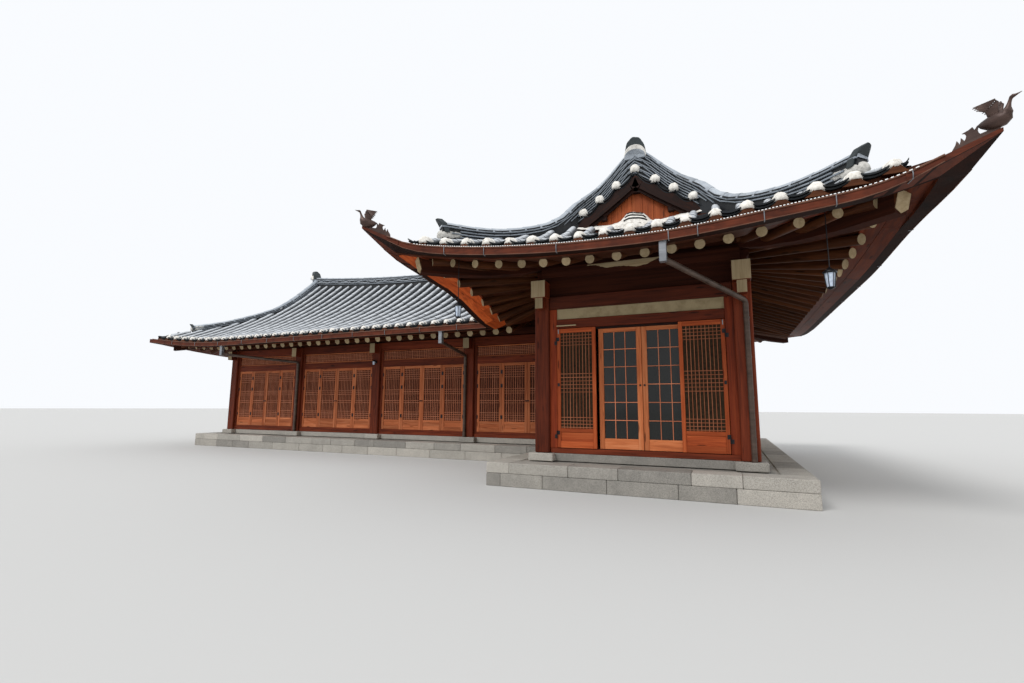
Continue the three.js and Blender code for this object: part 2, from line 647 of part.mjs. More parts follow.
emit('right_frame', sideFrame('y', HALL_HALF, 1, rightSpan, RIGHT_POSTS, HALL_TOP), 'frame');
emit('rear_frame', sideFrame('x', REAR, 1, rearFrameSpan, WING_COLUMNS, WING_TOP), 'frame');
emit('wing_end_frame', sideFrame('y', WING_END, -1, endFrameSpan, [RIDGE_Y], WING_TOP), 'frame');
emit('right_wall', wallBoard('y', HALL_HALF, 1, rightSpan, RIGHT_WINDOWS, HALL_TOP), 'plaster');
emit('rear_wall', wallBoard('x', REAR, 1, rearSpan, REAR_WINDOWS, WING_TOP), 'plaster');
emit('wing_end_wall', wallBoard('y', WING_END, -1, endSpan, [END_WINDOW], WING_TOP), 'plaster');
emit('hall_left_wall', wallBoard('y', -HALL_HALF - 45, -1, hallLeftSpan, [LEFT_WINDOW], HALL_TOP), 'plaster');
RIGHT_WINDOWS.forEach((y, i) => emit(`right_window_${i + 1}`, windowUnit('y', HALL_HALF, 1, y), 'door'));
REAR_WINDOWS.forEach((x, i) => emit(`rear_window_${i + 1}`, windowUnit('x', REAR, 1, x), 'door'));
emit('wing_end_window', windowUnit('y', WING_END, -1, END_WINDOW), 'door');
emit('hall_left_window', windowUnit('y', -HALL_HALF - 45, -1, LEFT_WINDOW), 'door');

// Purlins on the walls, with the filling between the rafters up to the roof, and the hip rafters
const FILL_HALF = 45;
const HIP_HALF = 90;
const HIP_DEPTH = 240;
const LAP = 10;

function purlin(x0, y0, x1, y1, radius, z) {
  const length = Math.hypot(x1 - x0, y1 - y0);
  const geometry = new THREE.CylinderGeometry(radius, radius, length, 10);
  if (x0 !== x1) {
    geometry.rotateZ(Math.PI / 2);
  }
  geometry.translate((x0 + x1) / 2, (y0 + y1) / 2, z);
  return solid(geometry);
}

function filling(x0, y0, x1, y1, z0) {
  const steps = Math.round(Math.hypot(x1 - x0, y1 - y0) / 700);
  const alongX = x0 !== x1;
  return bentBox(steps, 1, 1, (u, v, w) => {
    const x = x0 + (x1 - x0) * u + (alongX ? 0 : (0.5 - v) * 2 * FILL_HALF);
    const y = y0 + (y1 - y0) * u + (alongX ? (v - 0.5) * 2 * FILL_HALF : 0);
    return [x, y, w < 0.5 ? z0 : topZ(x, y) - EDGE_DEPTH + LAP];
  });
}

function hipRafter(inner, outer) {
  const length = Math.hypot(outer[0] - inner[0], outer[1] - inner[1]);
  const [dx, dy] = [(outer[0] - inner[0]) / length, (outer[1] - inner[1]) / length];
  return bentBox(5, 1, 1, (u, v, w) => {
    const x = inner[0] + (outer[0] - inner[0]) * u;
    const y = inner[1] + (outer[1] - inner[1]) * u;
    const share = roofShare(x, y);
    const roof = roofZ(x, y, share);
    const z = w > 0.5 ? roof - EDGE_DEPTH + LAP : roof - roofDepth(x, y, share) - HIP_DEPTH;
    return [x - dy * (v - 0.5) * 2 * HIP_HALF, y + dx * (v - 0.5) * 2 * HIP_HALF, z];
  });
}

const H = HALL_HALF;
const hallLines = [[-H, 0, H, 0], [H, 0, H, REAR + PURLIN_R_WING], [-H, 0, -H, WING_FRONT + 60]];
const wingLines = [
  [WING_END, WING_FRONT, -H - PURLIN_R_HALL - 10, WING_FRONT],
  [WING_END, REAR, H - WALL_THICK - SEAT, REAR],
  [WING_END, WING_FRONT, WING_END, REAR],
];
const hallPurlins = under(join([
  ...hallLines.map((line) => purlin(...line, PURLIN_R_HALL, HALL_PURLIN_Z)),
  ...hallLines.map((line) => filling(...line, HALL_PURLIN_Z)),
  box(-H - WALL_THICK, H + WALL_THICK, -50, 50, HALL_TOP + SEAT, HALL_PURLIN_Z),
  ...hallLines.slice(1).map(([x, y0, , y1]) => box(x - WALL_THICK, x + WALL_THICK, y0, y1,
    HALL_TOP + SEAT, HALL_PURLIN_Z)),
  box(-H - WALL_THICK, -H + WALL_THICK, WING_FRONT - POST / 2 + 5, WING_FRONT + 60,
    WING_TOP + SEAT, HALL_TOP + 1),
  hipRafter([H - 500, 500], [3000, -1440]),
  hipRafter([-H + 500, 500], [-3000, -1440]),
  hipRafter([H - 500, REAR - 500], [2900, 8780]),
]));
const wingPurlins = under(join([
  ...wingLines.map((line) => purlin(...line, PURLIN_R_WING, WING_PURLIN_Z)),
  ...wingLines.map((line) => filling(...line, WING_PURLIN_Z)),
  hipRafter([WING_END + 500, WING_FRONT + 500], [-14080, 1770]),
  hipRafter([WING_END + 500, REAR - 500], [-14080, 8830]),
]));
emit('hall_purlins', hallPurlins, 'frame');
emit('wing_purlins', cut(wingPurlins, around(hallPurlins)), 'frame');

// Gables: a board wall, a soffit under the verge and bargeboards
const VERGE_STEPS = 16;
function gable(place, half, panel, barge) {
  const strip = (offset, depth) => bentBox(VERGE_STEPS, 1, 1, (u, v, w) => {
    const a = (u - 0.5) * 2 * half;
    const [x, y] = place(a, offset[0] + (offset[1] - offset[0]) * v);
    const top = topZ(x, y) - EDGE_DEPTH;
    return [x, y, w > 0.5 ? top + LAP : top - depth];
  });
  return over(under(join([strip(panel, 700), strip([barge[0], panel[1]], 30), strip(barge, 200)])));
}

emit('hall_gable', gable((a, b) => [a, GABLE_Y + b], 1080, [290, 330], [60, 100]), 'gable');
emit('wing_gable', gable((a, b) => [WING_GABLE_X + b, RIDGE_Y - a], 1600, [290, 330], [60, 100]), 'gable');

// Ridges: stacked tiles drawn as one section along a path, with a dark end tile
const MAIN_SECTION = [[-160, -130], [160, -130], [150, 220], [95, 320], [0, 355], [-95, 320], [-150, 220]];
const SIDE_SECTION = [[-115, -110], [115, -110], [110, 150], [70, 215], [0, 240], [-70, 215], [-110, 150]];

function pathPoint(points, t) {
  const spans = points.length - 1;
  const k = Math.min(spans - 1, Math.floor(t * spans + 1e-9));
  const f = t * spans - k;
  const [p, q] = [points[k], points[k + 1]];
  return [p[0] + (q[0] - p[0]) * f, p[1] + (q[1] - p[1]) * f];
}

function pathSide(points, t) {
  const spans = points.length - 1;
  const k = Math.round(t * spans);
  const p = points[Math.max(0, k - 1)];
  const q = points[Math.min(spans, k + 1)];
  const length = Math.hypot(q[0] - p[0], q[1] - p[1]);
  return [(q[1] - p[1]) / length, -(q[0] - p[0]) / length];
}

// The upper part of the section rises by lift(t); its foot stays in the roof
function ridge(section, points, lift = () => 0) {
  return sweep(section, points.length - 1, (a, b, t) => {
    const [x, y] = pathPoint(points, t);
    const [sx, sy] = pathSide(points, t);
    return [x + sx * a, y + sy * a, topZ(x, y) + b + (b > 0 ? lift(t) : 0)];
  });
}

function linePath(from, to, steps) {
  return Array.from({ length: steps + 1 }, (_, i) => [
    from[0] + (to[0] - from[0]) * i / steps, from[1] + (to[1] - from[1]) * i / steps]);
}

// The end tile: a round-topped plate across the ridge that leans outwards
const TILE_LEAN = 0.2;
function endTile(x, y, z, dir, half, height) {
  const outline = [[-half, 0], [half, 0], [half, height * 0.45], [half * 0.75, height * 0.8], [0, height],
    [-half * 0.75, height * 0.8], [-half, height * 0.45]];
  const shape = new THREE.Shape(outline.map(([a, b]) => new THREE.Vector2(a, b)));
  const geometry = new THREE.ExtrudeGeometry(shape, { depth: 70, bevelEnabled: false });
  geometry.rotateX(Math.PI / 2 + TILE_LEAN);
  geometry.rotateZ(Math.atan2(dir[0], -dir[1]));
  geometry.translate(x, y, z);
  return solid(geometry);
}

const upturn = (t) => 60 * Math.max(0, t - 0.7) / 0.3;
// Path of the right side ridge from the main ridge to the corner, each with its extra height
const HALL_RIDGE = [[165, 560, 270], [420, 560, 250], [680, 555, 200], [900, 500, 200], [1080, 390, 180],
  [1250, 250, 60], [1460, 40, 5], [1670, -170, 0], [1880, -380, 10], [2090, -590, 30], [2300, -800, 70],
  [2510, -1010, 115], [2640, -1140, 150], [2765, -1265, 165]];
function hallSideRidge(side) {
  const points = side > 0 ? HALL_RIDGE : HALL_RIDGE.map(([x, y, up]) => [-x, y, up]).reverse();
  const lift = (t) => points[Math.round(t * (points.length - 1))][2];
  const end = [side * 2735, -1235];
  return over(join([ridge(SIDE_SECTION, points, lift),
    endTile(...end, topZ(...end) + 205, [side, -1], 95, 260)]));
}

const hallMain = over(join([
  ridge(MAIN_SECTION, linePath([0, 380], [0, RIDGE_Y - 160.5], 8)),
  endTile(0, 400, topZ(0, 380) + 315, [0, -1], 165, 375),
]));
const wingMain = over(join([
  ridge(MAIN_SECTION, linePath([WING_GABLE_X + 30, RIDGE_Y], [160, RIDGE_Y], 14)),
  endTile(WING_GABLE_X + 50, RIDGE_Y, topZ(WING_GABLE_X + 30, RIDGE_Y) + 330, [-1, 0], 165, 260),
]));
emit('hall_main_ridge', hallMain, 'ridge');
emit('wing_main_ridge', wingMain, 'ridge');
emit('hall_left_ridge', cut(hallSideRidge(-1), around(hallMain)), 'ridge');
emit('hall_right_ridge', cut(hallSideRidge(1), around(hallMain)), 'ridge');

function wingSideRidge(side) {
  const outward = [[200, 165], [200, 500], [200, 900], [190, 1300], [90, 1620], [-90, 1820], [-300, 2040],
    [-600, 2340], [-900, 2640], [-1200, 2940], [-1500, 3240]];
  const points = outward.map(([a, b]) => [WING_GABLE_X + a, RIDGE_Y - side * b]);
  const path = side > 0 ? points.slice().reverse() : points;
  const lift = side > 0 ? (t) => upturn(1 - t) : upturn;
  const end = points[points.length - 1];
  return over(join([ridge(SIDE_SECTION, path, lift),
    endTile(end[0] + 20, end[1] + side * 20, topZ(...end) + 120, [-1, -side], 100, 260)]));
}

emit('wing_front_ridge', cut(wingSideRidge(1), around(wingMain)), 'ridge');
emit('wing_rear_ridge', cut(wingSideRidge(-1), around(wingMain)), 'ridge');
const rearHip = linePath([120, RIDGE_Y + 160], [2830, REAR_EAVE - 400], 8);
emit('rear_hip_ridge', cut(over(join([
  ridge(SIDE_SECTION, rearHip, upturn),
  endTile(2810, REAR_EAVE - 420, topZ(2830, REAR_EAVE - 400) + 120, [1, 1], 100, 260),
])), around(wingMain)), 'ridge');

// Gutters: open channels along the eaves, drawn out to a beak at the two front corners of the hall
const GUTTER_WIDE = 140;
const GUTTER_WALL = 8;
const GUTTER_LOW = -180;
const GUTTER_HIGH = -40;
const GUTTER_BACK = -110;
const BEAK_OUT = 220;
const BEAK_RISE = 140;
const BEAK_NARROW = 0.65;
const BEAK_REACH = 750;
const CHANNEL = [[0, GUTTER_LOW], [GUTTER_WIDE, GUTTER_LOW], [GUTTER_WIDE, GUTTER_HIGH],
  [GUTTER_WIDE - GUTTER_WALL, GUTTER_HIGH], [GUTTER_WIDE - GUTTER_WALL, GUTTER_LOW + GUTTER_WALL],
  [GUTTER_WALL, GUTTER_LOW + GUTTER_WALL], [GUTTER_WALL, GUTTER_BACK], [0, GUTTER_BACK]];

function gutterPoint(x, y, outX, outY, a, b) {
  const [fx, fy] = flare(x, y);
  const px = fx + outX * (a + SEAT);
  const py = fy + outY * (a + SEAT);
  const z = eaveHeight(x, y) + cornerRise(x, y) + b;
  const near = Math.max(0, 1 - Math.hypot(Math.abs(x) - EAVE_X, y - EAVE_FRONT) / BEAK_REACH);
  const pull = near * near * a / GUTTER_WIDE;
  const rise = near * near * pull * BEAK_RISE + (GUTTER_HIGH - b) * BEAK_NARROW * pull;
  return [px + Math.sign(x) * BEAK_OUT * pull, py - BEAK_OUT * pull, z + rise];
}

// Ends move outwards with the offset where a corner is mitred: e0 and e1 are -1, 0 or 1
function gutter(from, to, out, stations, e0, e1) {
  const length = Math.hypot(to[0] - from[0], to[1] - from[1]);
  const dir = [(to[0] - from[0]) / length, (to[1] - from[1]) / length];
  const steps = stations.length - 1;
  return sweep(CHANNEL, steps, (a, b, t) => {
    const along = stations[Math.round(t * steps)];
    const x = from[0] + (to[0] - from[0]) * along;
    const y = from[1] + (to[1] - from[1]) * along;
    const shift = t < 0.5 / steps ? -e0 * a : t > 1 - 0.5 / steps ? e1 * a : 0;
    const [px, py, z] = gutterPoint(x, y, out[0], out[1], a, b);
    return [px + dir[0] * shift, py + dir[1] * shift, z];
  });
}

const SPLIT = 0.3;
const frontGutter = gutter([-EAVE_X, EAVE_FRONT], [EAVE_X, EAVE_FRONT], [0, -1], FRONT_STATIONS, 1, 1);
const rightGutter = gutter([EAVE_X, EAVE_FRONT + SPLIT], [EAVE_X, REAR_EAVE - SPLIT], [1, 0],
  RIGHT_STATIONS, 1, 1);
const leftGutter = gutter([-EAVE_X, WING_EAVE - SPLIT], [-EAVE_X, EAVE_FRONT + SPLIT], [-1, 0],
  LEFT_STATIONS, -1, 1);
const wingGutter = gutter([LEFT_EAVE, WING_EAVE], [-EAVE_X - SPLIT, WING_EAVE], [0, -1],
  WING_STATIONS, 1, -1);
const rearGutter = gutter([EAVE_X, REAR_EAVE], [LEFT_EAVE, REAR_EAVE], [0, 1], REAR_STATIONS, 1, 1);
const endGutter = gutter([LEFT_EAVE, REAR_EAVE - SPLIT], [LEFT_EAVE, WING_EAVE + SPLIT], [-1, 0],
  END_STATIONS, 1, 1);
emit('hall_front_gutter', frontGutter, 'copper');
emit('hall_right_gutter', rightGutter, 'copper');
emit('hall_left_gutter', leftGutter, 'copper');
emit('wing_front_gutter', wingGutter, 'copper');
emit('rear_gutter', rearGutter, 'copper');
emit('wing_end_gutter', endGutter, 'copper');

// Cranes on the beaks: body, neck, head and raised wings on a wavy crest
function rod(points, radius, sides) {
  const pieces = [];
  for (let i = 0; i < points.length - 1; i += 1) {
    const p = new THREE.Vector3(...points[i]);
    const q = new THREE.Vector3(...points[i + 1]);
    const along = q.clone().sub(p);
    const geometry = new THREE.CylinderGeometry(radius, radius, along.length(), sides);
    geometry.applyQuaternion(new THREE.Quaternion().setFromUnitVectors(new THREE.Vector3(0, 1, 0),
      along.clone().normalize()));
    const middle = p.clone().add(q).multiplyScalar(0.5);
    geometry.translate(middle.x, middle.y, middle.z);
    pieces.push(solid(geometry));
    if (i > 0) {
      pieces.push(ball(points[i], [radius * 1.02, radius * 1.02, radius * 1.02], sides));
    }
  }
  return join(pieces);
}

function ball(centre, radii, sides, pitch = 0) {
  const geometry = new THREE.SphereGeometry(1, sides, Math.max(4, sides / 2));
  geometry.rotateX(Math.PI / 2);
  geometry.scale(...radii);
  geometry.rotateY(-pitch);
  geometry.translate(...centre);
  return solid(geometry);
}

// Built with the bird looking along +X and its chest near the origin, then turned to the corner's diagonal
const CHEST = [3645, -2145, 3750];
const WING_LEADING = [[-70, 90], [-75, 236], [-232, 240]];
const WING_TRAILING = [[-135, 95], [-150, 158], [-190, 186]];
const CREST = [[-440, -130], [-90, -130], [-70, -30], [-150, -10], [-226, -6], [-243, 44], [-265, 81],
  [-347, 57], [-318, 20], [-334, -20], [-357, 20], [-374, -42], [-391, 7], [-434, -72]];
const blend = (line, u) => pathPoint(line, Math.min(u, 1));

function craneAt(side) {
  const body = ball([-105, 0, 50], [115, 50, 82], 8, 0.25);
  const breast = ball([-24, 0, 108], [34, 24, 42], 6);
  const neck = rod([[-22, 0, 110], [-2, 0, 150], [12, 0, 185], [22, 0, 214]], 13, 6);
  const head = ball([32, 0, 214], [27, 15, 18], 6);
  const bill = rod([[44, 0, 210], [94, 0, 219]], 6, 4);
  const wing = (s) => bentBox(4, 2, 1, (u, v, w) => {
    const [front, back] = [blend(WING_LEADING, u), blend(WING_TRAILING, u)];
    const [along, up] = front.map((value, i) => value + (back[i] - value) * v);
    return [along, s * (20 + 60 * u + 9 * w), up];
  });
  const crest = prism(CREST, 12).rotate([90, 0, 0]).translate([0, 6, 0]);
  const bird = join([body, breast, neck, head, bill, wing(1), wing(-1), crest]);
  return bird.rotate([0, 0, side > 0 ? -43.6 : -136.4]).translate([side * CHEST[0], CHEST[1], CHEST[2]]);
}

emit('crane_left', cut(craneAt(-1), [frontGutter, leftGutter].flatMap(around)), 'bronze');
emit('crane_right', cut(craneAt(1), [frontGutter, rightGutter].flatMap(around)), 'bronze');

// Downspouts: a funnel under the gutter, a sloping run to the post and a straight drop
const PIPE_R = 38;
function downspout(funnel, knee, foot) {
  const [fx, fy, fz] = funnel;
  const cone = new THREE.CylinderGeometry(60, PIPE_R, 150, 8);
  cone.rotateX(Math.PI / 2);
  cone.translate(fx, fy, fz - 75);
  return join([solid(cone), rod([[fx, fy, fz - 120], [fx, fy, fz - 230], knee, foot], PIPE_R, 8)]);
}

const FUNNEL_LAP = 5;
const gutterBottom = (x, y) => gutterPoint(x, y, 0, -1, GUTTER_WIDE / 2, GUTTER_LOW)[2] + FUNNEL_LAP;
const PIPE_Y = -POST / 2 - PIPE_R - 2;
const FUNNEL_OUT = GUTTER_WIDE / 2 + 2;
const PIPE_FOOT = STONE_TOP + SEAT;
emit('hall_downspout', cut(downspout([625, EAVE_FRONT - FUNNEL_OUT, gutterBottom(625, EAVE_FRONT)],
  [1535, PIPE_Y, 2683], [1535, PIPE_Y, PIPE_FOOT]), around(frontGutter)), 'pipe');
[['right', -4430, -4580], ['left', -11500, -10110]].forEach(([name, funnelX, pipeX]) => {
  const pipe = downspout([funnelX, WING_EAVE - FUNNEL_OUT, gutterBottom(funnelX, WING_EAVE)],
    [pipeX, WING_FRONT + PIPE_Y, 2440], [pipeX, WING_FRONT + PIPE_Y, PIPE_FOOT]);
  emit(`wing_downspout_${name}`, cut(pipe, around(wingGutter)), 'pipe');
});

// Hanging lanterns under the front corners and a lamp on a wing post
function lantern(x, y, low) {
  const roof = topZ(x, y) - roofDepth(x, y, roofShare(x, y)) + 60;
  const cap = new THREE.CylinderGeometry(15, 75, 60, 6);
  cap.rotateX(Math.PI / 2);
  cap.translate(x, y, low + 210);
  const cage = new THREE.CylinderGeometry(58, 50, 185, 6);
  cage.rotateX(Math.PI / 2);
  cage.translate(x, y, low + 92);
  return under(join([solid(cap), solid(cage), rod([[x, y, low + 230], [x, y, roof]], 7, 8)]));
}

emit('lantern_left', lantern(-2332, -1420, 2470), 'iron');
emit('lantern_right', lantern(2332, -1420, 2470), 'iron');
const LAMP_X = WING_COLUMNS[2];
const LAMP_Y = WING_FRONT - POST / 2;
emit('wall_lamp', join([
  box(LAMP_X - 35, LAMP_X + 35, LAMP_Y - 18, LAMP_Y - SEAT, 2290, 2430),
  box(LAMP_X - 15, LAMP_X + 15, LAMP_Y - 90, LAMP_Y - 10, 2395, 2415),
  box(LAMP_X - 40, LAMP_X + 40, LAMP_Y - 130, LAMP_Y - 50, 2270, 2400),
]), 'iron');

export default group;
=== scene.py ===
import math
import random

import bpy
from mathutils import Matrix, Vector


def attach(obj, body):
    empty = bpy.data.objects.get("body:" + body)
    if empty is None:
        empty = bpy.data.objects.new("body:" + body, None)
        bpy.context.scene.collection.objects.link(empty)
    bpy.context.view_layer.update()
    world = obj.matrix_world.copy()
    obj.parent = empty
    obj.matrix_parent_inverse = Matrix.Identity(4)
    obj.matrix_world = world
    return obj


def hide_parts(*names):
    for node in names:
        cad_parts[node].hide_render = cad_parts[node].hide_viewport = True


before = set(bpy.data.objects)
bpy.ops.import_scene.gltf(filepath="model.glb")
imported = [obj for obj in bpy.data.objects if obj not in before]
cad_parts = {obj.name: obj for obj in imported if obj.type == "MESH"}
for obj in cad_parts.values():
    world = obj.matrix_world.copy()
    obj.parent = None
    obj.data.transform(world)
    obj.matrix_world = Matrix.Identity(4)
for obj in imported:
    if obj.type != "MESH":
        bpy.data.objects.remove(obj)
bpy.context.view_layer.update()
rng = random.Random(11)

HOUSE = "house"
Y, Z = Vector((0, 1, 0)), Vector((0, 0, 1))

# Plan and heights, as in the part's source
HALL_HALF = 1.5
WING_FRONT = 3.0
RIDGE_Y = 5.3
REAR = 7.6
COLUMNS = [-12.85, -10.15, -7.33, -4.495, -1.5]
COLUMN_HALF = 0.12
EAVE_X = 3.16
EAVE_FRONT = -1.66
WING_EAVE = 1.54
REAR_EAVE = 9.06
LEFT_EAVE = -14.31
HALL_RUN = 3.16
WING_RUN = 3.76
GABLE_Y = 0.36
WING_GABLE_X = -12.25
PLINTH_TOP = 0.35
STONE_TOP = 0.47
FLOOR_TOP = 0.55
EDGE_DEPTH = 0.16
GAP = 0.0003  # between pieces that only just clear each other
CORNERS = [(EAVE_X, EAVE_FRONT, 0.33), (-EAVE_X, EAVE_FRONT, 0.33), (EAVE_X, REAR_EAVE, 0.2),
           (LEFT_EAVE, REAR_EAVE, 0.22), (LEFT_EAVE, WING_EAVE, 0.22)]
GABLE_SHARE = (GABLE_Y - EAVE_FRONT) / HALL_RUN
WING_GABLE_SHARE = (WING_GABLE_X - LEFT_EAVE) / WING_RUN


# Roof form
def clamp(v, lo, hi):
    return max(lo, min(hi, v))


def smooth(a, b, v):
    t = clamp((v - a) / (b - a), 0, 1)
    return t * t * (3 - 2 * t)


def eave_height(x, y):
    return 3.31 - 0.34 * (1 - smooth(-3.3, -1.0, x)) * smooth(-0.3, WING_EAVE, y)


def ridge_height(x):
    return 5.06 + 0.37 * max(0, (-6 - x) / 6.1) ** 2


def corner_rise(x, y):
    return sum(rise * max(0, 1 - math.hypot(x - cx, y - cy) / 3) ** 2 for cx, cy, rise in CORNERS)


def roof_z(x, y, t):
    eave = eave_height(x, y)
    return eave + (ridge_height(x) - eave) * (0.605 * t + 0.395 * t * t) + corner_rise(x, y)


def roof_depth(x, y, t):
    hall = smooth(GABLE_Y + 0.35, GABLE_Y + 0.9, y) if x > -EAVE_X and t > GABLE_SHARE else 1
    wing = smooth(WING_GABLE_X + 0.35, WING_GABLE_X + 0.9, x) if t > WING_GABLE_SHARE else 1
    return EDGE_DEPTH + 0.19 * min(t / 0.5, 1) * hall * wing


def flare(x, y):
    fx, fy = x, y
    for cx, cy, _ in CORNERS:
        near = max(0, 1 - math.hypot(x - cx, y - cy) / 2.5) ** 2 * 0.085
        fx += near if cx > 0 else -near
        fy += near if cy > RIDGE_Y else -near
    return fx, fy


def flared(x, y, z):
    """The roof is drawn out a little further towards its corners."""
    return Vector((*flare(x, y), z))


def roof_share(x, y):
    rear = (REAR_EAVE - y) / WING_RUN
    front = (y - EAVE_FRONT) / HALL_RUN if y < GABLE_Y else 1
    hall = min(1 - abs(x) / HALL_RUN, rear, front)
    left = (x - LEFT_EAVE) / WING_RUN if x < WING_GABLE_X else 1
    wing = min((y - WING_EAVE) / WING_RUN, rear, left, 1 - x / HALL_RUN if x > 0 else 1)
    return clamp(max(hall, wing), 0, 1)


def top_z(x, y):
    return roof_z(x, y, roof_share(x, y))


def under_z(x, y):
    t = roof_share(x, y)
    return roof_z(x, y, t) - roof_depth(x, y, t)


def front_sink(x, t):
    wide = HALL_RUN * (1 - t)
    return 0.15 * min(1, t / GABLE_SHARE) * max(0, 1 - (x / wide) ** 2) if wide > 0.01 else 0


def between(first, last, i, count):
    return first + (last - first) * i / count


def at_height(p, z):
    return Vector((p.x, p.y, z))


def level(x, y):
    return Vector((x, y, 0))


def linked(name, data):
    obj = bpy.data.objects.new(name, data)
    bpy.context.scene.collection.objects.link(obj)
    return obj


# Many small shapes in one mesh, with a tint and a grain coordinate at each point
class Bits:
    def __init__(self):
        self.points, self.faces, self.soft, self.mats = [], [], [], []
        self.tint, self.grain = [], []

    def add(self, points, faces, tint=None, grain=None, mat=0, soft=False):
        base = len(self.points)
        self.points += [tuple(p) for p in points]
        self.faces += [tuple(base + i for i in f) for f in faces]
        self.soft += [soft] * len(faces)
        self.mats += [mat] * len(faces)
        self.tint += [rng.random() if tint is None else tint] * len(points)
        self.grain += [tuple(g) for g in (grain or points)]

    def make(self, name, materials, slot, replaces=(), body=HOUSE):
        mesh = bpy.data.meshes.new(name)
        mesh.from_pydata(self.points, [], self.faces)
        mesh.polygons.foreach_set("use_smooth", self.soft)
        mesh.polygons.foreach_set("material_index", self.mats)
        tint = mesh.attributes.new("tint", "FLOAT", "POINT")
        tint.data.foreach_set("value", self.tint)
        grain = mesh.attributes.new("grain", "FLOAT_VECTOR", "POINT")
        grain.data.foreach_set("vector", [v for g in self.grain for v in g])
        for m in materials:
            mesh.materials.append(m)
        mesh.update()
        obj = linked(name, mesh)
        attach(obj, body)
        if replaces:
            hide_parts(*replaces)


def ring_faces(rings, size, closed=True):
    last = size if closed else size - 1
    return [(r * size + i, r * size + (i + 1) % size, (r + 1) * size + (i + 1) % size, (r + 1) * size + i)
            for r in range(rings - 1) for i in range(last)]


def flipped(faces):
    return [tuple(reversed(f)) for f in faces]


def beam(bits, a, b, width, height, up=Z, chamfer=0.006, tint=None, mat=0):
    """A squared timber from a to b with chamfered edges; its grain runs along it."""
    a, b = Vector(a), Vector(b)
    along = (b - a).normalized()
    side = along.cross(Vector(up)).normalized()
    top = side.cross(along)
    length = (b - a).length
    w, h = width / 2, height / 2
    shift = rng.uniform(0, 40)
    c = min(chamfer, w * 0.4, h * 0.4)
    if c < 0.002:
        ring = [(w, -h), (w, h), (-w, h), (-w, -h)]
        stations = [(0, 0), (length, 0)]
    else:
        ring = [(w - c, -h), (w, c - h), (w, h - c), (w - c, h), (c - w, h), (-w, h - c), (-w, c - h), (c - w, -h)]
        stations = [(0, c), (c, 0), (length - c, 0), (length, c)]
    points, grain = [], []
    for s, inset in stations:
        for u, v in ring:
            u, v = u * (1 - inset / w), v * (1 - inset / h)
            points.append(a + along * s + side * u + top * v)
            grain.append((s + shift, u + shift, v))
    size = len(ring)
    faces = ring_faces(len(stations), size)
    faces += [tuple(reversed(range(size))), tuple(range(len(points) - size, len(points)))]
    bits.add(points, faces, tint, grain, mat)


def block(bits, x0, x1, y0, y1, z0, z1, chamfer=0.006, tint=None, mat=0):
    """A squared timber or stone between limits, its grain along the longest side."""
    sizes = [x1 - x0, y1 - y0, z1 - z0]
    long = sizes.index(max(sizes))
    mid = Vector(((x0 + x1) / 2, (y0 + y1) / 2, (z0 + z1) / 2))
    half = Vector((0, 0, 0))
    half[long] = sizes[long] / 2
    up, wide, tall = [(Z, sizes[1], sizes[2]), (Z, sizes[0], sizes[2]), (Y, sizes[0], sizes[1])][long]
    beam(bits, mid - half, mid + half, wide, tall, up, chamfer, tint, mat)


def tube(bits, points, radius, sides=12, tint=None, mat=0, cap=None):
    """A round bar along points, of one radius or a list of them; cap is the flat ends' own material."""
    points = [Vector(p) for p in points]
    shift = rng.uniform(0, 40)
    out, grain = [], []
    dist = 0
    for i, p in enumerate(points):
        before, after = points[max(0, i - 1)], points[min(len(points) - 1, i + 1)]
        along = (after - before).normalized()
        side = along.cross(Z if abs(along.z) < 0.9 else Y).normalized()
        top = side.cross(along)
        r = radius[i] if isinstance(radius, list) else radius
        if i:
            dist += (p - points[i - 1]).length
        for k in range(sides):
            angle = 2 * math.pi * k / sides
            out.append(p + side * (r * math.cos(angle)) + top * (r * math.sin(angle)))
            grain.append((dist + shift, r * math.cos(angle) + shift, r * math.sin(angle)))
    tint = rng.random() if tint is None else tint
    bits.add(out, ring_faces(len(points), sides), tint, grain, mat, True)
    for ring, back in ((0, True), (len(points) - 1, False)):
        order = range(sides - 1, -1, -1) if back else range(sides)
        bits.add([out[ring * sides + k] for k in order], [tuple(range(sides))], tint,
                 [grain[ring * sides + k] for k in order], mat if cap is None else cap)


def lump(bits, centre, radii, turn, rough, mat=0, rings=5, sides=9, *, low):
    """A hand-shaped lump: most of a ball, uneven, flat below."""
    points = []
    for r in range(rings + 1):
        phi = math.pi / 2 - (math.pi / 2 - math.asin(low)) * r / rings
        for k in range(sides):
            a = 2 * math.pi * k / sides
            grow = 1 + rng.uniform(-rough, rough)
            p = Vector((radii[0] * math.cos(phi) * math.cos(a), radii[1] * math.cos(phi) * math.sin(a),
                        radii[2] * math.sin(phi))) * grow
            points.append(turn @ p + Vector(centre))
    faces = flipped(ring_faces(rings + 1, sides))
    faces.append(tuple(range(rings * sides + sides - 1, rings * sides - 1, -1)))
    faces.append(tuple(range(sides)))
    bits.add(points, faces, mat=mat, soft=True)


def post(bits, x, y, half, z0, z1, chamfer=0.006, tint=None, mat=0):
    """A square upright about x, y."""
    block(bits, x - half, x + half, y - half, y + half, z0, z1, chamfer, tint, mat)


# Materials, all from nodes on the piece's own coordinates
def shade(name, rough=0.6, metallic=0.0, specular=0.5, alpha=1.0):
    m = bpy.data.materials.new(name)
    m.use_nodes = True
    bsdf = m.node_tree.nodes["Principled BSDF"]
    for key, value in (("Roughness", rough), ("Metallic", metallic), ("Specular IOR Level", specular),
                       ("Alpha", alpha)):
        bsdf.inputs[key].default_value = value
    return m, m.node_tree, bsdf


def node(tree, kind, **inputs):
    n = tree.nodes.new(kind)
    for key, value in inputs.items():
        n.inputs[key.replace("_", " ")].default_value = value
    return n


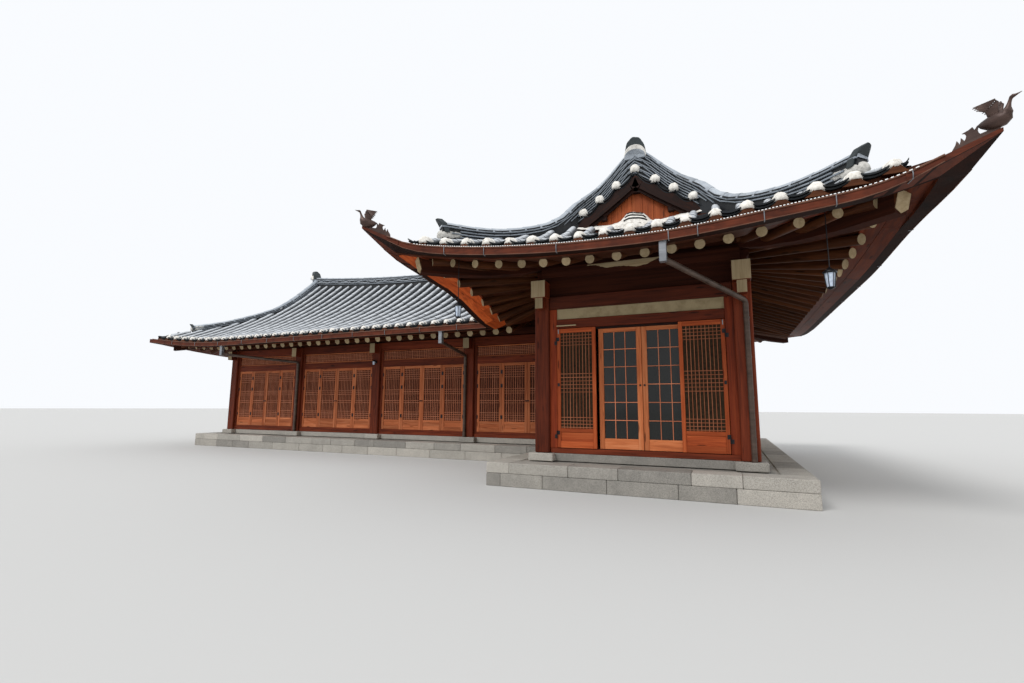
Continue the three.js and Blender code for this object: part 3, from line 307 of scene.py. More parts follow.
def feed(tree, socket, value):
    if isinstance(value, (int, float)):
        socket.default_value = value
    elif isinstance(value, tuple):
        socket.default_value = (*value, 1)
    else:
        tree.links.new(value, socket)


def attribute(tree, name):
    n = tree.nodes.new("ShaderNodeAttribute")
    n.attribute_name = name
    return n.outputs


def tint_value(tree):
    return attribute(tree, "tint")["Fac"]


def coordinate(tree, source="object", scale=(1, 1, 1)):
    """The piece's own coordinates, or those of a mesh attribute, stretched by scale."""
    own = source == "object"
    at = tree.nodes.new("ShaderNodeTexCoord").outputs["Object"] if own else attribute(tree, source)["Vector"]
    mapping = node(tree, "ShaderNodeMapping", Scale=scale)
    tree.links.new(at, mapping.inputs["Vector"])
    return mapping.outputs["Vector"]


def noise(tree, at, scale, detail=4.0, rough=0.55, distortion=0.0):
    n = node(tree, "ShaderNodeTexNoise", Scale=scale, Detail=detail, Roughness=rough, Distortion=distortion)
    tree.links.new(at, n.inputs["Vector"])
    return n.outputs["Fac"]


def cells(tree, at, scale):
    n = node(tree, "ShaderNodeTexVoronoi", Scale=scale, Randomness=1.0)
    tree.links.new(at, n.inputs["Vector"])
    return n.outputs


def ramp(tree, fac, stops):
    n = tree.nodes.new("ShaderNodeValToRGB")
    elements = n.color_ramp.elements
    while len(elements) < len(stops):
        elements.new(0.5)
    for element, (place, colour) in zip(elements, stops):
        element.position = place
        element.color = (*colour, 1)
    tree.links.new(fac, n.inputs["Fac"])
    return n.outputs["Color"]


def math_node(tree, op, a, b):
    n = tree.nodes.new("ShaderNodeMath")
    n.operation = op
    feed(tree, n.inputs[0], a)
    feed(tree, n.inputs[1], b)
    return n.outputs[0]


def scaled(tree, a, share):
    return math_node(tree, "MULTIPLY", a, share)


def weighted(tree, a, share_a, b, share_b):
    return math_node(tree, "ADD", scaled(tree, a, share_a), scaled(tree, b, share_b))


def mix(tree, fac, a, b, blend="MIX"):
    n = tree.nodes.new("ShaderNodeMix")
    n.data_type = "RGBA"
    n.blend_type = blend
    for index, value in ((0, fac), (6, a), (7, b)):
        feed(tree, n.inputs[index], value)
    return n.outputs[2]


def patches(tree, colour, fac, low, high, share, other):
    """Where fac is high, a share of the colour gives way to another one."""
    where = ramp(tree, fac, [(low, BLACK), (high, FULL)])
    return mix(tree, scaled(tree, where, share), colour, other)


def bump(tree, bsdf, height, strength, distance):
    n = node(tree, "ShaderNodeBump", Strength=strength, Distance=distance)
    tree.links.new(height, n.inputs["Height"])
    tree.links.new(n.outputs["Normal"], bsdf.inputs["Normal"])


def complete(tree, bsdf, colour, worn, rough, height, strength, distance):
    """Colour, roughness between two values as `worn` goes, and a bump."""
    tree.links.new(colour, bsdf.inputs["Base Color"])
    n = node(tree, "ShaderNodeMapRange", To_Min=rough[0], To_Max=rough[1])
    tree.links.new(worn, n.inputs["Value"])
    tree.links.new(n.outputs["Result"], bsdf.inputs["Roughness"])
    bump(tree, bsdf, height, strength, distance)


def srgb(*rgb):
    return tuple(((c / 255) / 12.92 if c <= 10 else ((c / 255 + 0.055) / 1.055) ** 2.4) for c in rgb)


def times(colour, share):
    return tuple(c * share for c in colour)


BLACK, FULL = (0, 0, 0), (1, 1, 1)
GRIME = (0.05, 0.05, 0.045)
PALE_TINT, DEEP_TINT = (1.25, 1.2, 1.15), (0.55, 0.52, 0.5)


# Colours are given as 0 to 255, from the darkest to the lightest
def wood(name, dark, mid, light, rough=(0.42, 0.68), source="grain", stretch=(1.6, 26, 26), knots=True,
         depth=0.0015):
    dark, mid, light = (srgb(*c) for c in (dark, mid, light))
    m, tree, bsdf = shade(name, specular=0.12)
    lines = noise(tree, coordinate(tree, source, stretch), 1.0, 6, 0.62, 0.6)
    broad = noise(tree, coordinate(tree, source, times(stretch, 0.22)), 1.0, 3)
    colour = ramp(tree, weighted(tree, lines, 0.62, broad, 0.38), [(0.33, dark), (0.5, mid), (0.68, light)])
    if source == "grain":
        by_piece = ramp(tree, tint_value(tree), [(0, DEEP_TINT), (1, PALE_TINT)])
        colour = mix(tree, 0.55, colour, by_piece, "MULTIPLY")
    if knots:
        spots = cells(tree, coordinate(tree, source, (1.9, 11, 11)), 1.0)
        spot = ramp(tree, spots["Distance"], [(0.0, FULL), (0.1, FULL), (0.17, BLACK)])
        colour = mix(tree, scaled(tree, spot, 0.75), colour, times(dark, 0.3))
    complete(tree, bsdf, colour, lines, rough, lines, 0.5, depth)
    return m


def clay(name, dark, mid, light, vary=0.55, specular=0.35, painted_shade_sides=None):
    dark, mid, light = (srgb(*c) for c in (dark, mid, light))
    m, tree, bsdf = shade(name, specular=specular)
    at = coordinate(tree)
    fine = noise(tree, at, 60, 5, 0.6)
    stain = noise(tree, at, 7, 5, 0.65, 0.4)
    fac = weighted(tree, tint_value(tree), vary, stain, 1.05 - vary)
    colour = ramp(tree, fac, [(0.2, dark), (0.52, mid), (0.85, light)])
    colour = patches(tree, colour, fine, 0.52, 0.75, 0.35, light)
    colour = patches(tree, colour, noise(tree, at, 3.1, 6, 0.7), 0.52, 0.72, 0.45, GRIME)
    if painted_shade_sides:
        # Painted shade: faces turned away from the sky take the darker side colour, and upward faces keep the tile
        # colour
        split = tree.nodes.new("ShaderNodeSeparateXYZ")
        tree.links.new(tree.nodes.new("ShaderNodeNewGeometry").outputs["Normal"], split.inputs[0])
        lit_tops_mask = ramp(tree, split.outputs["Z"], [(0.25, BLACK), (0.76, FULL)])
        colour = mix(tree, lit_tops_mask, srgb(*painted_shade_sides), colour)
    complete(tree, bsdf, colour, stain, (0.38, 0.7), fine, 0.4, 0.003)
    return m


def lime(name, dark, light, scale=1.0):
    dark, light = srgb(*dark), srgb(*light)
    m, tree, bsdf = shade(name, specular=0.2)
    at = coordinate(tree)
    coarse = noise(tree, at, 22 * scale, 6, 0.65)
    fine = noise(tree, at, 90 * scale, 4)
    bright = tuple(min(1, c) for c in times(light, 1.08))
    colour = ramp(tree, coarse, [(0.3, dark), (0.55, light), (0.8, bright)])
    dirt = noise(tree, at, 6 * scale, 5, 0.7)
    colour = patches(tree, colour, dirt, 0.55, 0.75, 0.3, times(dark, 0.55))
    complete(tree, bsdf, colour, fine, (0.75, 0.95), coarse, 0.5, 0.006)
    return m


def metal(name, dark, light, rough=(0.32, 0.55), metallic=0.45, specular=0.3):
    m, tree, bsdf = shade(name, metallic=metallic, specular=specular)
    runs = noise(tree, coordinate(tree, scale=(3, 3, 24)), 1.0, 5, 0.6, 0.5)
    cloud = noise(tree, coordinate(tree), 5, 5, 0.6)
    colour = ramp(tree, weighted(tree, runs, 0.5, cloud, 0.5), [(0.35, srgb(*dark)), (0.65, srgb(*light))])
    complete(tree, bsdf, colour, cloud, rough, cloud, 0.15, 0.002)
    return m


def granite(name):
    m, tree, bsdf = shade(name, specular=0.35)
    at = coordinate(tree)
    cloud = noise(tree, at, 3, 5, 0.6)
    base = ramp(tree, weighted(tree, cloud, 0.5, tint_value(tree), 0.5),
                [(0.25, srgb(136, 132, 125)), (0.5, srgb(165, 160, 151)), (0.75, srgb(184, 178, 168))])
    specks = ramp(tree, cells(tree, at, 160)["Color"],
                  [(0.2, times(FULL, 0.3)), (0.5, times(FULL, 0.9)), (0.9, times(FULL, 1.2))])
    colour = mix(tree, 0.5, base, specks, "MULTIPLY")
    complete(tree, bsdf, colour, cloud, (0.65, 0.9), noise(tree, at, 45, 6, 0.7), 0.5, 0.006)
    return m


def glass(name, dark, light, cloud, rough, specular, alpha=1.0, wavy=False):
    m, tree, bsdf = shade(name, rough, specular=specular, alpha=alpha)
    at = coordinate(tree)
    colour = ramp(tree, noise(tree, at, cloud, 3), [(0.3, srgb(*dark)), (0.7, srgb(*light))])
    tree.links.new(colour, bsdf.inputs["Base Color"])
    if wavy:
        bump(tree, bsdf, noise(tree, at, 2.5, 2), 0.05, 0.01)
    return m


FRAME_WOOD = wood("frame_wood", (66, 26, 14), (103, 44, 25), (130, 60, 35))
# Lintel wood is a darker copy of the frame wood: painted shade under the eaves
LINTEL_WOOD = wood("lintel_wood", (44, 18, 10), (70, 30, 17), (92, 42, 25))
JAMB_WOOD = wood("jamb_wood", (82, 31, 16), (124, 49, 24), (150, 68, 36))
DARK_WOOD = wood("dark_wood", (22, 11, 8), (38, 19, 13), (58, 30, 20))
# Eave wood is darkened as painted shade under the eaves
EAVE_WOOD = wood("eave_wood", (46, 24, 13), (76, 42, 23), (104, 62, 36))
DOOR_WOOD = wood("door_wood", (128, 54, 26), (168, 78, 40), (194, 104, 60))
STILE_WOOD = wood("stile_wood", (150, 78, 44), (194, 112, 68), (214, 140, 96))
BAR_WOOD = wood("bar_wood", (176, 92, 62), (208, 126, 90), (226, 150, 114), knots=False)
LATTICE_WOOD = wood("lattice_wood", (116, 64, 40), (152, 92, 64), (178, 118, 88), knots=False)
GABLE_WOOD = wood("gable_wood", (112, 52, 26), (156, 78, 42), (182, 98, 56))
CREAM = wood("cream_paint", (146, 128, 96), (170, 152, 120), (186, 170, 140), (0.6, 0.8), knots=False,
             depth=0.0006)
# Soffit wood is darkened as painted shade under the eaves; its bright copy is painted light on the hall's left eave,
# where the soffit is lit
SOFFIT = wood("soffit_wood", (58, 24, 13), (90, 40, 22), (114, 56, 32))
SOFFIT_PAINTED_LIGHT = wood("soffit_wood_painted_light", (158, 66, 28), (210, 96, 44), (230, 122, 62))
WING_BAR_WOOD = wood("wing_bar_wood", (146, 84, 58), (182, 114, 84), (204, 140, 110), knots=False)
LEAF_WOOD = wood("leaf_wood", (134, 68, 38), (176, 100, 62), (200, 128, 88))
# The grain of the CAD nodes that stay runs along one of their own axes
PLAIN_WOOD = wood("plain_wood", (34, 15, 9), (54, 24, 14), (72, 34, 20), (0.86, 0.97), source="object",
                  stretch=(0.9, 0.9, 26), knots=False)
UPRIGHT_WOOD = wood("upright_wood", (66, 27, 16), (102, 45, 26), (124, 58, 34), source="object",
                    stretch=(22, 22, 0.9), knots=False)
DECK_X, DECK_Y = (wood(name, (40, 20, 12), (64, 33, 20), (88, 48, 29), source="object", stretch=stretch, knots=False)
                  for name, stretch in (("deck_x", (1.2, 9, 9)), ("deck_y", (9, 1.2, 9))))
FLOOR_WOOD = wood("floor_wood", (60, 36, 22), (96, 60, 36), (128, 84, 52), source="object", stretch=(1.5, 14, 14),
                  knots=False)
# The cover tiles' sides are darkened with painted shade
TILE = clay("cover_tile", (154, 158, 162), (194, 198, 202), (222, 225, 228), 0.3, painted_shade_sides=(100, 103, 106))
# Pan tiles are near-black: painted shade in the hollows between the rows of cover tiles
PAN = clay("pan_tile", (14, 16, 18), (27, 30, 33), (46, 50, 55), 0.35, 0.15)
RIDGE_TILE = clay("ridge_tile", (104, 111, 118), (146, 153, 161), (190, 196, 202))
RIDGE_CORE = clay("ridge_core", (14, 16, 18), (22, 24, 27), (36, 39, 42))
END_TILE = clay("end_tile", (30, 35, 37), (48, 55, 57), (76, 84, 86))
WHITE = lime("white_plaster", (196, 190, 180), (238, 234, 226))
BED = lime("tile_bed", (150, 148, 142), (204, 201, 194))
BAND = lime("band_plaster", (136, 120, 90), (160, 144, 112), 0.35)
# The dark backings behind the lattices are painted shade: the unlit rooms seen through the panes
BACKING = lime("hall_backing", (24, 17, 10), (54, 41, 25))
WING_BACKING = lime("wing_backing", (52, 26, 16), (82, 42, 27))
WALL = lime("wall_plaster", (196, 180, 146), (218, 204, 172), 0.35)
COPPER = metal("gutter_metal", (60, 27, 16), (104, 50, 31), (0.55, 0.75), 0.1, 0.15)
# The gutters' undersides take a darker copper: painted shade
COPPER_PAINTED_SHADE = metal("gutter_underside_painted_shade", (22, 11, 8), (44, 22, 15), (0.6, 0.8), 0.1, 0.1)
LIP = metal("gutter_lip", (84, 52, 38), (120, 82, 64), (0.45, 0.65), 0.2)
DARK_METAL = metal("dark_metal", (22, 22, 24), (46, 47, 50), metallic=0.6)
PIPE = metal("pipe_metal", (62, 50, 43), (98, 82, 72), metallic=0.3)
BRONZE = metal("crane_metal", (58, 44, 40), (96, 76, 68), metallic=0.4)
STRAP = metal("strap_metal", (110, 112, 116), (150, 152, 156), metallic=0.6)
STONE = granite("granite")
LED = lime("led_white", (226, 226, 222), (250, 250, 248))
GLASS = glass("dark_glass", (14, 15, 14), (34, 35, 32), 1.3, 0.06, 0.35, 0.94, True)
LAMP_GLASS = glass("lamp_glass", (168, 184, 206), (214, 224, 236), 30, 0.25, 0.5)

# Colours of the CAD nodes that stay
for names, material in (
        (("hall_front_roof", "wing_front_roof", "rear_roof"), DECK_X),
        (("hall_right_roof", "hall_left_roof", "wing_end_roof"), DECK_Y),
        (("hall_purlins", "wing_purlins"), PLAIN_WOOD),
        (("right_wall", "rear_wall", "wing_end_wall", "hall_left_wall"), WALL),
        (("right_frame", "rear_frame", "wing_end_frame", "right_window_1", "right_window_2", "rear_window_1",
          "rear_window_2", "wing_end_window", "hall_left_window"), UPRIGHT_WOOD),
        (("hall_plaster_band",), BAND),
        (("door_glass_left", "door_glass_right"), GLASS),
        (("floor_boards",), FLOOR_WOOD)):
    for name in names:
        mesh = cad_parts[name].data
        mesh.materials.clear()
        mesh.materials.append(material)


# Roof faces: rows of cover tiles run up the slope at a steady spacing, with pan tiles between them
def spaced(first, step, count):
    return [first + step * i for i in range(count)]


# The hall's right side ridge and the wing's front one: x, y and the extra height over the roof. The wing's x and
# y count from its gable's apex, y towards the front.
RIDGE_PATH = [(-0.04, 0.44, 0.33), (0.165, 0.5, 0.325), (0.42, 0.56, 0.28), (0.68, 0.555, 0.24), (0.9, 0.5, 0.235),
              (1.08, 0.39, 0.2), (1.25, 0.25, 0.065), (1.46, 0.04, 0.005), (1.67, -0.17, 0.0), (1.88, -0.38, 0.01),
              (2.09, -0.59, 0.03), (2.3, -0.8, 0.07), (2.51, -1.01, 0.115), (2.64, -1.14, 0.15), (2.76, -1.26, 0.165)]
WING_PATH = [(0.2, 0.0, 0.1), (0.2, 0.5, 0.08), (0.2, 0.9, 0.05), (0.19, 1.3, 0.03), (0.09, 1.62, 0.0),
             (-0.09, 1.82, 0.0), (-0.3, 2.04, 0.0), (-0.6, 2.34, 0.0), (-0.9, 2.64, 0.01), (-1.2, 2.94, 0.03),
             (-1.5, 3.24, 0.06)]
FRONT_TOP = 0.6  # the hall's front rows end there, at the gable's foot


def crossing(path, value, key):
    """Where the path reaches a value of one coordinate, the other one."""
    for p, q in zip(path, path[1:]):
        lo, hi = sorted((p[key], q[key]))
        if lo <= value <= hi and hi > lo:
            f = (value - p[key]) / (q[key] - p[key])
            return p[1 - key] + (q[1 - key] - p[1 - key]) * f
    return path[-1][1 - key]


def side_end(y):
    if y < 0.55:
        return min((y - EAVE_FRONT) / HALL_RUN, 1 - crossing(RIDGE_PATH, y, 1) / HALL_RUN) if y > -1.33 else 0.1
    return min(0.972, (REAR_EAVE - y) / WING_RUN)


def front_end(x):
    return min(FRONT_TOP, (crossing(RIDGE_PATH, abs(x), 0) - EAVE_FRONT) / HALL_RUN if abs(x) < 2.76 else 0.12)


def wing_end(x):
    if x < WING_GABLE_X + 0.19:
        hip = (WING_RUN - crossing(WING_PATH, x - WING_GABLE_X, 0)) / WING_RUN if x > WING_GABLE_X - 1.5 else 1
        return min(0.97, (x - LEFT_EAVE) / WING_RUN, hip)
    return 0.97


FACES = {
    "hall_front": dict(rows=spaced(-2.685, 0.325, 18), low=lambda c: 0, high=front_end, limits=(-2.95, 2.95),
                       place=lambda c, t: (c, EAVE_FRONT + HALL_RUN * t), out=(0, -1), sink=front_sink),
    "hall_right": dict(rows=spaced(-1.3, 0.3343, 31), low=lambda c: 0, high=side_end, limits=(-1.45, 9.3),
                       place=lambda c, t: (HALL_RUN * (1 - t), c), out=(1, 0)),
    "hall_left": dict(rows=spaced(-1.3, 0.3343, 20), low=lambda c: max(0, (c - WING_EAVE) / WING_RUN),
                      high=side_end, limits=(-1.45, 9.3),
                      place=lambda c, t: (-HALL_RUN * (1 - t), c), out=(-1, 0),
                      raised=lambda c: 0.022 * smooth(0.4, 1.0, c)),
    "wing_front": dict(rows=spaced(-13.83, 0.3275, 42), low=lambda c: max(0, 1 + c / HALL_RUN), high=wing_end,
                       place=lambda c, t: (c, WING_EAVE + WING_RUN * t), out=(0, -1),
                       raised=lambda c: 0.016 * smooth(-4.2, -3.2, c)),
    "rear": dict(rows=spaced(-13.83, 0.3275, 52), low=lambda c: 0,
                 high=lambda c: min(wing_end(c), 1 - c / HALL_RUN if c > 0.09 else 1),
                 place=lambda c, t: (c, REAR_EAVE - WING_RUN * t), out=(0, 1),
                 raised=lambda c: 0.004 + 0.07 * math.exp(-((c + 2.75) / 0.9) ** 2)),
    "wing_end": dict(rows=spaced(1.87, 0.3267, 22), low=lambda c: 0,
                     high=lambda c: min((c - WING_EAVE) / WING_RUN, (REAR_EAVE - c) / WING_RUN, 0.62),
                     place=lambda c, t: (LEFT_EAVE + WING_RUN * t, c), out=(-1, 0)),
}
PAN_EDGE, PAN_LOW, PAN_PARTS = 0.05, 0.012, 4
COVER_LIFT, COVER_R, COVER_LAP = 0.05, 0.072, 0.012
TILE_LONG, PAN_LONG = 0.29, 0.125
TILE_THICK = 0.02


def surface(face, c, t, lift=0.0):
    x, y = face["place"](c, t)
    z = roof_z(x, y, t) - (face["sink"](x, t) if "sink" in face else 0)
    if "raised" in face:
        z += face["raised"](c)
    return flared(x, y, z + lift)


def pan_sag(u, low=PAN_LOW):
    return low + (PAN_EDGE - PAN_LOW) * (2 * u - 1) ** 2


def across_of(face):
    ox, oy = face["out"]
    return level(-oy, ox)


def turn_to(out):
    return Matrix.Rotation(math.atan2(out.y, out.x), 3, "Z")


def half_ring(p, side, top, r, first, sweep, sides):
    angles = [math.radians(between(first, first + sweep, k, sides)) for k in range(sides + 1)]
    return [p + side * (r * math.cos(a)) + top * (r * math.sin(a)) for a in angles]


def half_tile(bits, a, b, side, r0, r1, tint):
    """A cover tile from its lower end a to its upper end b, wider below."""
    along = (b - a).normalized()
    side = (side - along * side.dot(along)).normalized()
    top = side.cross(along)
    if top.z < 0:
        top = -top
    points = half_ring(a, side, top, r0, -14, 208, 7) + half_ring(b, side, top, r1, -14, 208, 7)
    faces = ring_faces(2, 8, False)
    mouth = range(7, -1, -1)
    if side.cross(top).dot(along) < 0:
        faces, mouth = flipped(faces), range(8)
    bits.add(points, faces, tint, soft=True)
    bits.add(points[:8], [tuple(mouth)], tint)


def dress_face(name, face):
    covers, pans = Bits(), Bits()
    rows = face["rows"]
    side = across_of(face)
    for c in rows:
        low, high = face["low"](c), face["high"](c)
        line = [surface(face, c, between(low, high, i, 8)) for i in range(9)]
        length = sum((q - p).length for p, q in zip(line, line[1:]))
        if length < 0.12:
            continue
        count = max(1, round(length / TILE_LONG))
        for k in range(count):
            lift = COVER_LIFT + rng.uniform(-0.003, 0.003)
            a = surface(face, c, between(low, high, k, count), lift) + side * rng.uniform(-0.003, 0.003)
            b = surface(face, c, min(1, between(low, high, k + 1, count) + COVER_LAP), lift)
            half_tile(covers, a, b, side, COVER_R, COVER_R - 0.009, 0.25 + 0.6 * rng.random())
    step = (rows[1] - rows[0]) * 0.98
    first, last = face.get("limits", (-99, 99))
    edges = [max(first, rows[0] - step)] + rows + [min(last, rows[-1] + step)]
    for c0, c1 in zip(edges, edges[1:]):
        cs = [between(c0, c1, i, PAN_PARTS) for i in range(PAN_PARTS + 1)]
        lows = [face["low"](c) for c in cs]
        highs = [max(low, face["high"](c)) for low, c in zip(lows, cs)]
        start, end = min(lows), max(highs)
        middle = (c0 + c1) / 2
        run = (surface(face, middle, max(start, 0.02)) - surface(face, middle, max(0.1, end))).length
        count = max(1, round(run / PAN_LONG))
        tint = rng.random()
        for k in range(count):
            t0, t1 = between(start, end, k, count), between(start, end, k + 1, count)
            if all(t1 <= lo or t0 >= hi for lo, hi in zip(lows, highs)):
                continue
            points = [surface(face, c, clamp(t, lows[i], highs[i]), pan_sag(i / PAN_PARTS) + lift)
                      for t, lift in ((t0, 0.0), (t0, TILE_THICK), (t1, 0.0)) for i, c in enumerate(cs)]
            faces = ring_faces(3, len(cs), False)
            if (points[1] - points[0]).cross(points[2 * len(cs)] - points[0]).z < 0:
                faces = flipped(faces)
            # Where a hip or valley cuts the row, faces without area are left out
            faces = [f for f in faces if all((points[f[i]] - points[f[i + 2]]).length > 0.004 for i in (0, 1))]
            pans.add(points, faces, clamp(tint + rng.uniform(-0.25, 0.25), 0, 1))
    covers.make(f"{name}_cover_tiles", [TILE], slot="roof_tile")
    pans.make(f"{name}_pan_tiles", [PAN], slot="roof_tile")


for face_name, face in FACES.items():
    dress_face(face_name, face)


def lip(bits, n, depths, place, tint, mat=0):
    """Front, top and underside of a hanging lip; place gives its points from u, across, a depth and a height."""
    points = [place(k / (n - 1), d, e) for d in depths for e in (0.0, TILE_THICK) for k in range(n)]
    faces = [f for k in range(n - 1) for f in ((k, k + 1, n + 1 + k, n + k),
                                               (n + k, n + 1 + k, 3 * n + 1 + k, 3 * n + k),
                                               (k + 1, k, 2 * n + k, 2 * n + 1 + k))]
    bits.add(points, faces, tint, None, mat)


# Eave ends: plaster in the mouth of each cover tile, the lip of each pan, and a scalloped batten below
TOOTH = [(-0.125, -0.05), (0.125, -0.05), (0.075, -0.02), (0.03, 0.03), (0, 0.042), (-0.03, 0.03), (-0.075, -0.02)]


def dress_eave(name, face):
    plaster, lips = Bits(), Bits()
    out = level(*face["out"])
    side, turn = across_of(face), turn_to(out)
    rows = [c for c in face["rows"] if face["low"](c) <= 0]
    tooth_faces = ring_faces(2, 7) + [tuple(range(7)), tuple(range(13, 6, -1))]
    for c in rows:
        p = surface(face, c, 0)
        size = rng.uniform(0.92, 1.06) * (0.86 if name.startswith("wing") else 0.97)
        lump(plaster, p + Z * 0.043 + out * 0.005, (0.1 * size, 0.089 * size, 0.094 * size), turn, 0.07, low=-0.25)
        lump(plaster, p + Z * 0.062 - out * 0.075, (0.07, 0.086, 0.086), turn, 0.06, low=-0.2)
        lips.add([p + side * a + Z * b + out * d for d in (0.0, 0.085) for a, b in TOOTH], tooth_faces, mat=1)
    step = face["rows"][1] - face["rows"][0]
    first, last = face.get("limits", (-99, 99))
    ends = [max(first, rows[0] - step)] + rows
    if face["low"](rows[-1] + step) <= 0:
        ends.append(min(last, rows[-1] + step))
    for c0, c1 in zip(ends, ends[1:]):
        for layer in range(2):
            def place(u, d, e):
                sag = pan_sag(u, PAN_LOW + 0.005 - 0.028 * layer)
                return surface(face, c0 + (c1 - c0) * (0.1 + 0.8 * u), 0, sag + e) + out * d

            lip(lips, 7, (0.075 - 0.02 * layer, -0.03), place, rng.uniform(0.2, 0.8))
    plaster.make(f"{name}_tile_end_plaster", [WHITE], slot="ridge_tile")
    lips.make(f"{name}_pan_lips", [PAN, EAVE_WOOD], slot="roof_tile")


for face_name, face in FACES.items():
    dress_eave(face_name, face)


# Ridges: a wall of flat tiles with dark joints, and a row of cover tiles on top
LAYER, THICK = 0.048, 0.019
TOP_GAP = 0.008  # under the row of cover tiles


def resample(path, step):
    points = [Vector((*p, 0)[:3]) for p in path]
    lengths = [(q - p).xy.length for p, q in zip(points, points[1:])]
    total = sum(lengths)
    count = max(2, round(total / step))
    out = []
    for i in range(count + 1):
        want = total * i / count
        k = 0
        while k < len(lengths) - 1 and want > lengths[k]:
            want -= lengths[k]
            k += 1
        out.append(points[k].lerp(points[k + 1], clamp(want / lengths[k], 0, 1)))
    return out


def curved_tile(bits, points, sides, r0, r1, tint):
    """A cover tile bent along the ridge, wider at its last end."""
    n = len(points)
    ring = []
    for i, (p, side) in enumerate(zip(points, sides)):
        along = (points[min(n - 1, i + 1)] - points[max(0, i - 1)]).normalized()
        top = side.cross(along)
        if top.z < 0:
            top = -top
        reach = 0.012 if i == n - 1 else 0.0
        ring += half_ring(p + along * reach, side, top, between(r0, r1, i, n - 1), -12, 204, 8)
    bits.add(ring, ring_faces(n, 9, False), tint, soft=True)
    bits.add(ring[-9:], [tuple(range(9))], tint)
    bits.add(ring[:9], [tuple(range(8, -1, -1))], tint)


def ridge(node_name, path, half, height, layers, wave=0.0, cap=0.085, bare=0, start=False):
    """Layers hang from the top line, `height` and the path's lift over the roof, down to the roof tiles."""
    bits = Bits()
    stations = resample(path, 0.14)
    n = len(stations)
    feet, tops, sides = [], [], []
    for i, p in enumerate(stations):
        q, r = stations[max(0, i - 1)], stations[min(n - 1, i + 1)]
        along = (r - q).xy.normalized()
        sides.append(level(along.y, -along.x))
        feet.append(top_z(p.x, p.y))
        tops.append(feet[-1] + height + p.z)
    spots = [at_height(p, 0) for p in stations]

    def strip(i, j, w, low, high, mat, tint=None, trim=0.0):
        points = []
        for k, back in ((i, trim), (j, -trim)):
            step = (spots[j] - spots[i]).normalized()
            for u, z in ((-w, low(k)), (w, low(k)), (w, high(k)), (-w, high(k))):
                points.append(spots[k] + step * back + sides[k] * u + Z * z)
        bits.add(points, ring_faces(2, 4) + [(3, 2, 1, 0), (4, 5, 6, 7)], tint, None, mat)

    for i in range(n - 1):
        strip(i, i + 1, half - 0.03, lambda k: feet[k] - 0.1, lambda k: tops[k] - cap * 0.7, 1)
    for layer in range(layers):
        drop = cap + TOP_GAP + layer * LAYER + (wave if layer else 0)
        w = half - 0.004 * (layer % 2)
        i = 0
        while i < n - 1:
            j = min(n - 1, i + (2 if i or layer % 2 == 0 else 1))
            fits = all(tops[k] - drop - THICK > feet[k] + 0.045 for k in (i, j))
            if fits and not (layer > 0 and i >= n - 1 - bare):
                strip(i, j, w, lambda k: tops[k] - drop - THICK, lambda k: tops[k] - drop, 0,
                      0.3 * rng.random(), 0.0035)
            i = j
    if wave:
        # Two rows of pale arcs face each other in a broad dark joint
        middle = cap + TOP_GAP + THICK + (wave + LAYER - THICK) / 2
        faces = [f for k in range(6) for f in ((14 + k, 15 + k, 22 + k, 21 + k), (7 + k, 8 + k, 22 + k, 21 + k),
                                               (k, k + 1, 15 + k, 14 + k))]
        for s, (row, z_row), i in ((s, r, i) for s in (-1, 1) for r in enumerate((-0.03, 0.03))
                                   for i in range(0, n - 2, 2)):
            bend = 1 if (i // 2 + row) % 2 else -1
            arc = []
            for d, e, u in ((d, e, k / 6) for d in (0.0, 0.03) for e in (0.0, 0.02) for k in range(7)):
                base = tops[i] + (tops[i + 2] - tops[i]) * u - middle
                z = z_row + bend * 0.026 * (1 - (2 * u - 1) ** 2) - bend * 0.013 + e
                arc.append(spots[i].lerp(spots[i + 2], u) + sides[i] * s * (half - 0.036 + d) + Z * (base + z))
            bits.add(arc, faces, 0.4 + 0.5 * rng.random())
    for i in range(1 if start else 0, n - 1, 2):
        ks = range(i, min(n - 1, i + 2) + 1)
        curved_tile(bits, [spots[k] + Z * (tops[k] - cap) for k in ks], [sides[k] for k in ks], cap - 0.007, cap,
                    0.55 + 0.4 * rng.random())
    if bare:
        # Bedding in sight at the low end
        k = n - 1 - bare
        along = (spots[-1] - spots[k]).normalized()
        turn = Matrix((along, level(-along.y, along.x), Z)).transposed()
        for f, long, tall in ((0.15, 0.16, 0.085), (0.5, 0.15, 0.1), (0.85, 0.11, 0.1)):
            foot = feet[k] + (feet[-1] - feet[k]) * f
            lump(bits, spots[k].lerp(spots[-1], f) + Z * (foot + 0.17), (long, half - 0.01, tall), turn, 0.05, 2,
                 rings=6, sides=14, low=-0.8)
    bits.make(f"{node_name}_tiles", [RIDGE_TILE, RIDGE_CORE, BED], slot="ridge_tile", replaces=[node_name])


def arch(bits, at, direction, up, width, height, back, front, mat, tint, sweep, wavy):
    """An upright round-topped plate across `direction`, its sides swept back."""
    side = level(direction.y, -direction.x)
    straight = 0.35
    outline = [(width * 0.5, 0.0)]
    for k in range(19):
        a = math.pi * k / 18
        grow = 1 + wavy * math.cos(a * 9)
        outline.append((math.cos(a) * width / 2 * grow,
                        ((math.sin(a) ** 0.85) * height * (1 - straight)) * grow + height * straight))
    outline.append((-width * 0.5, 0.0))
    size = len(outline)
    points = []
    for depth, scale in ((back, 1.0), (front - 0.012, 1.0), (front, 0.93)):
        for u, v in outline:
            bend = sweep * (2 * u / width) ** 2
            points.append(at + side * (u * scale) + up * (height * 0.4 + (v - height * 0.4) * scale)
                          + direction * (depth - bend))
    faces = flipped(ring_faces(3, size)) + [tuple(range(size)), tuple(range(3 * size - 1, 2 * size - 1, -1))]
    bits.add(points, faces, tint, None, mat)


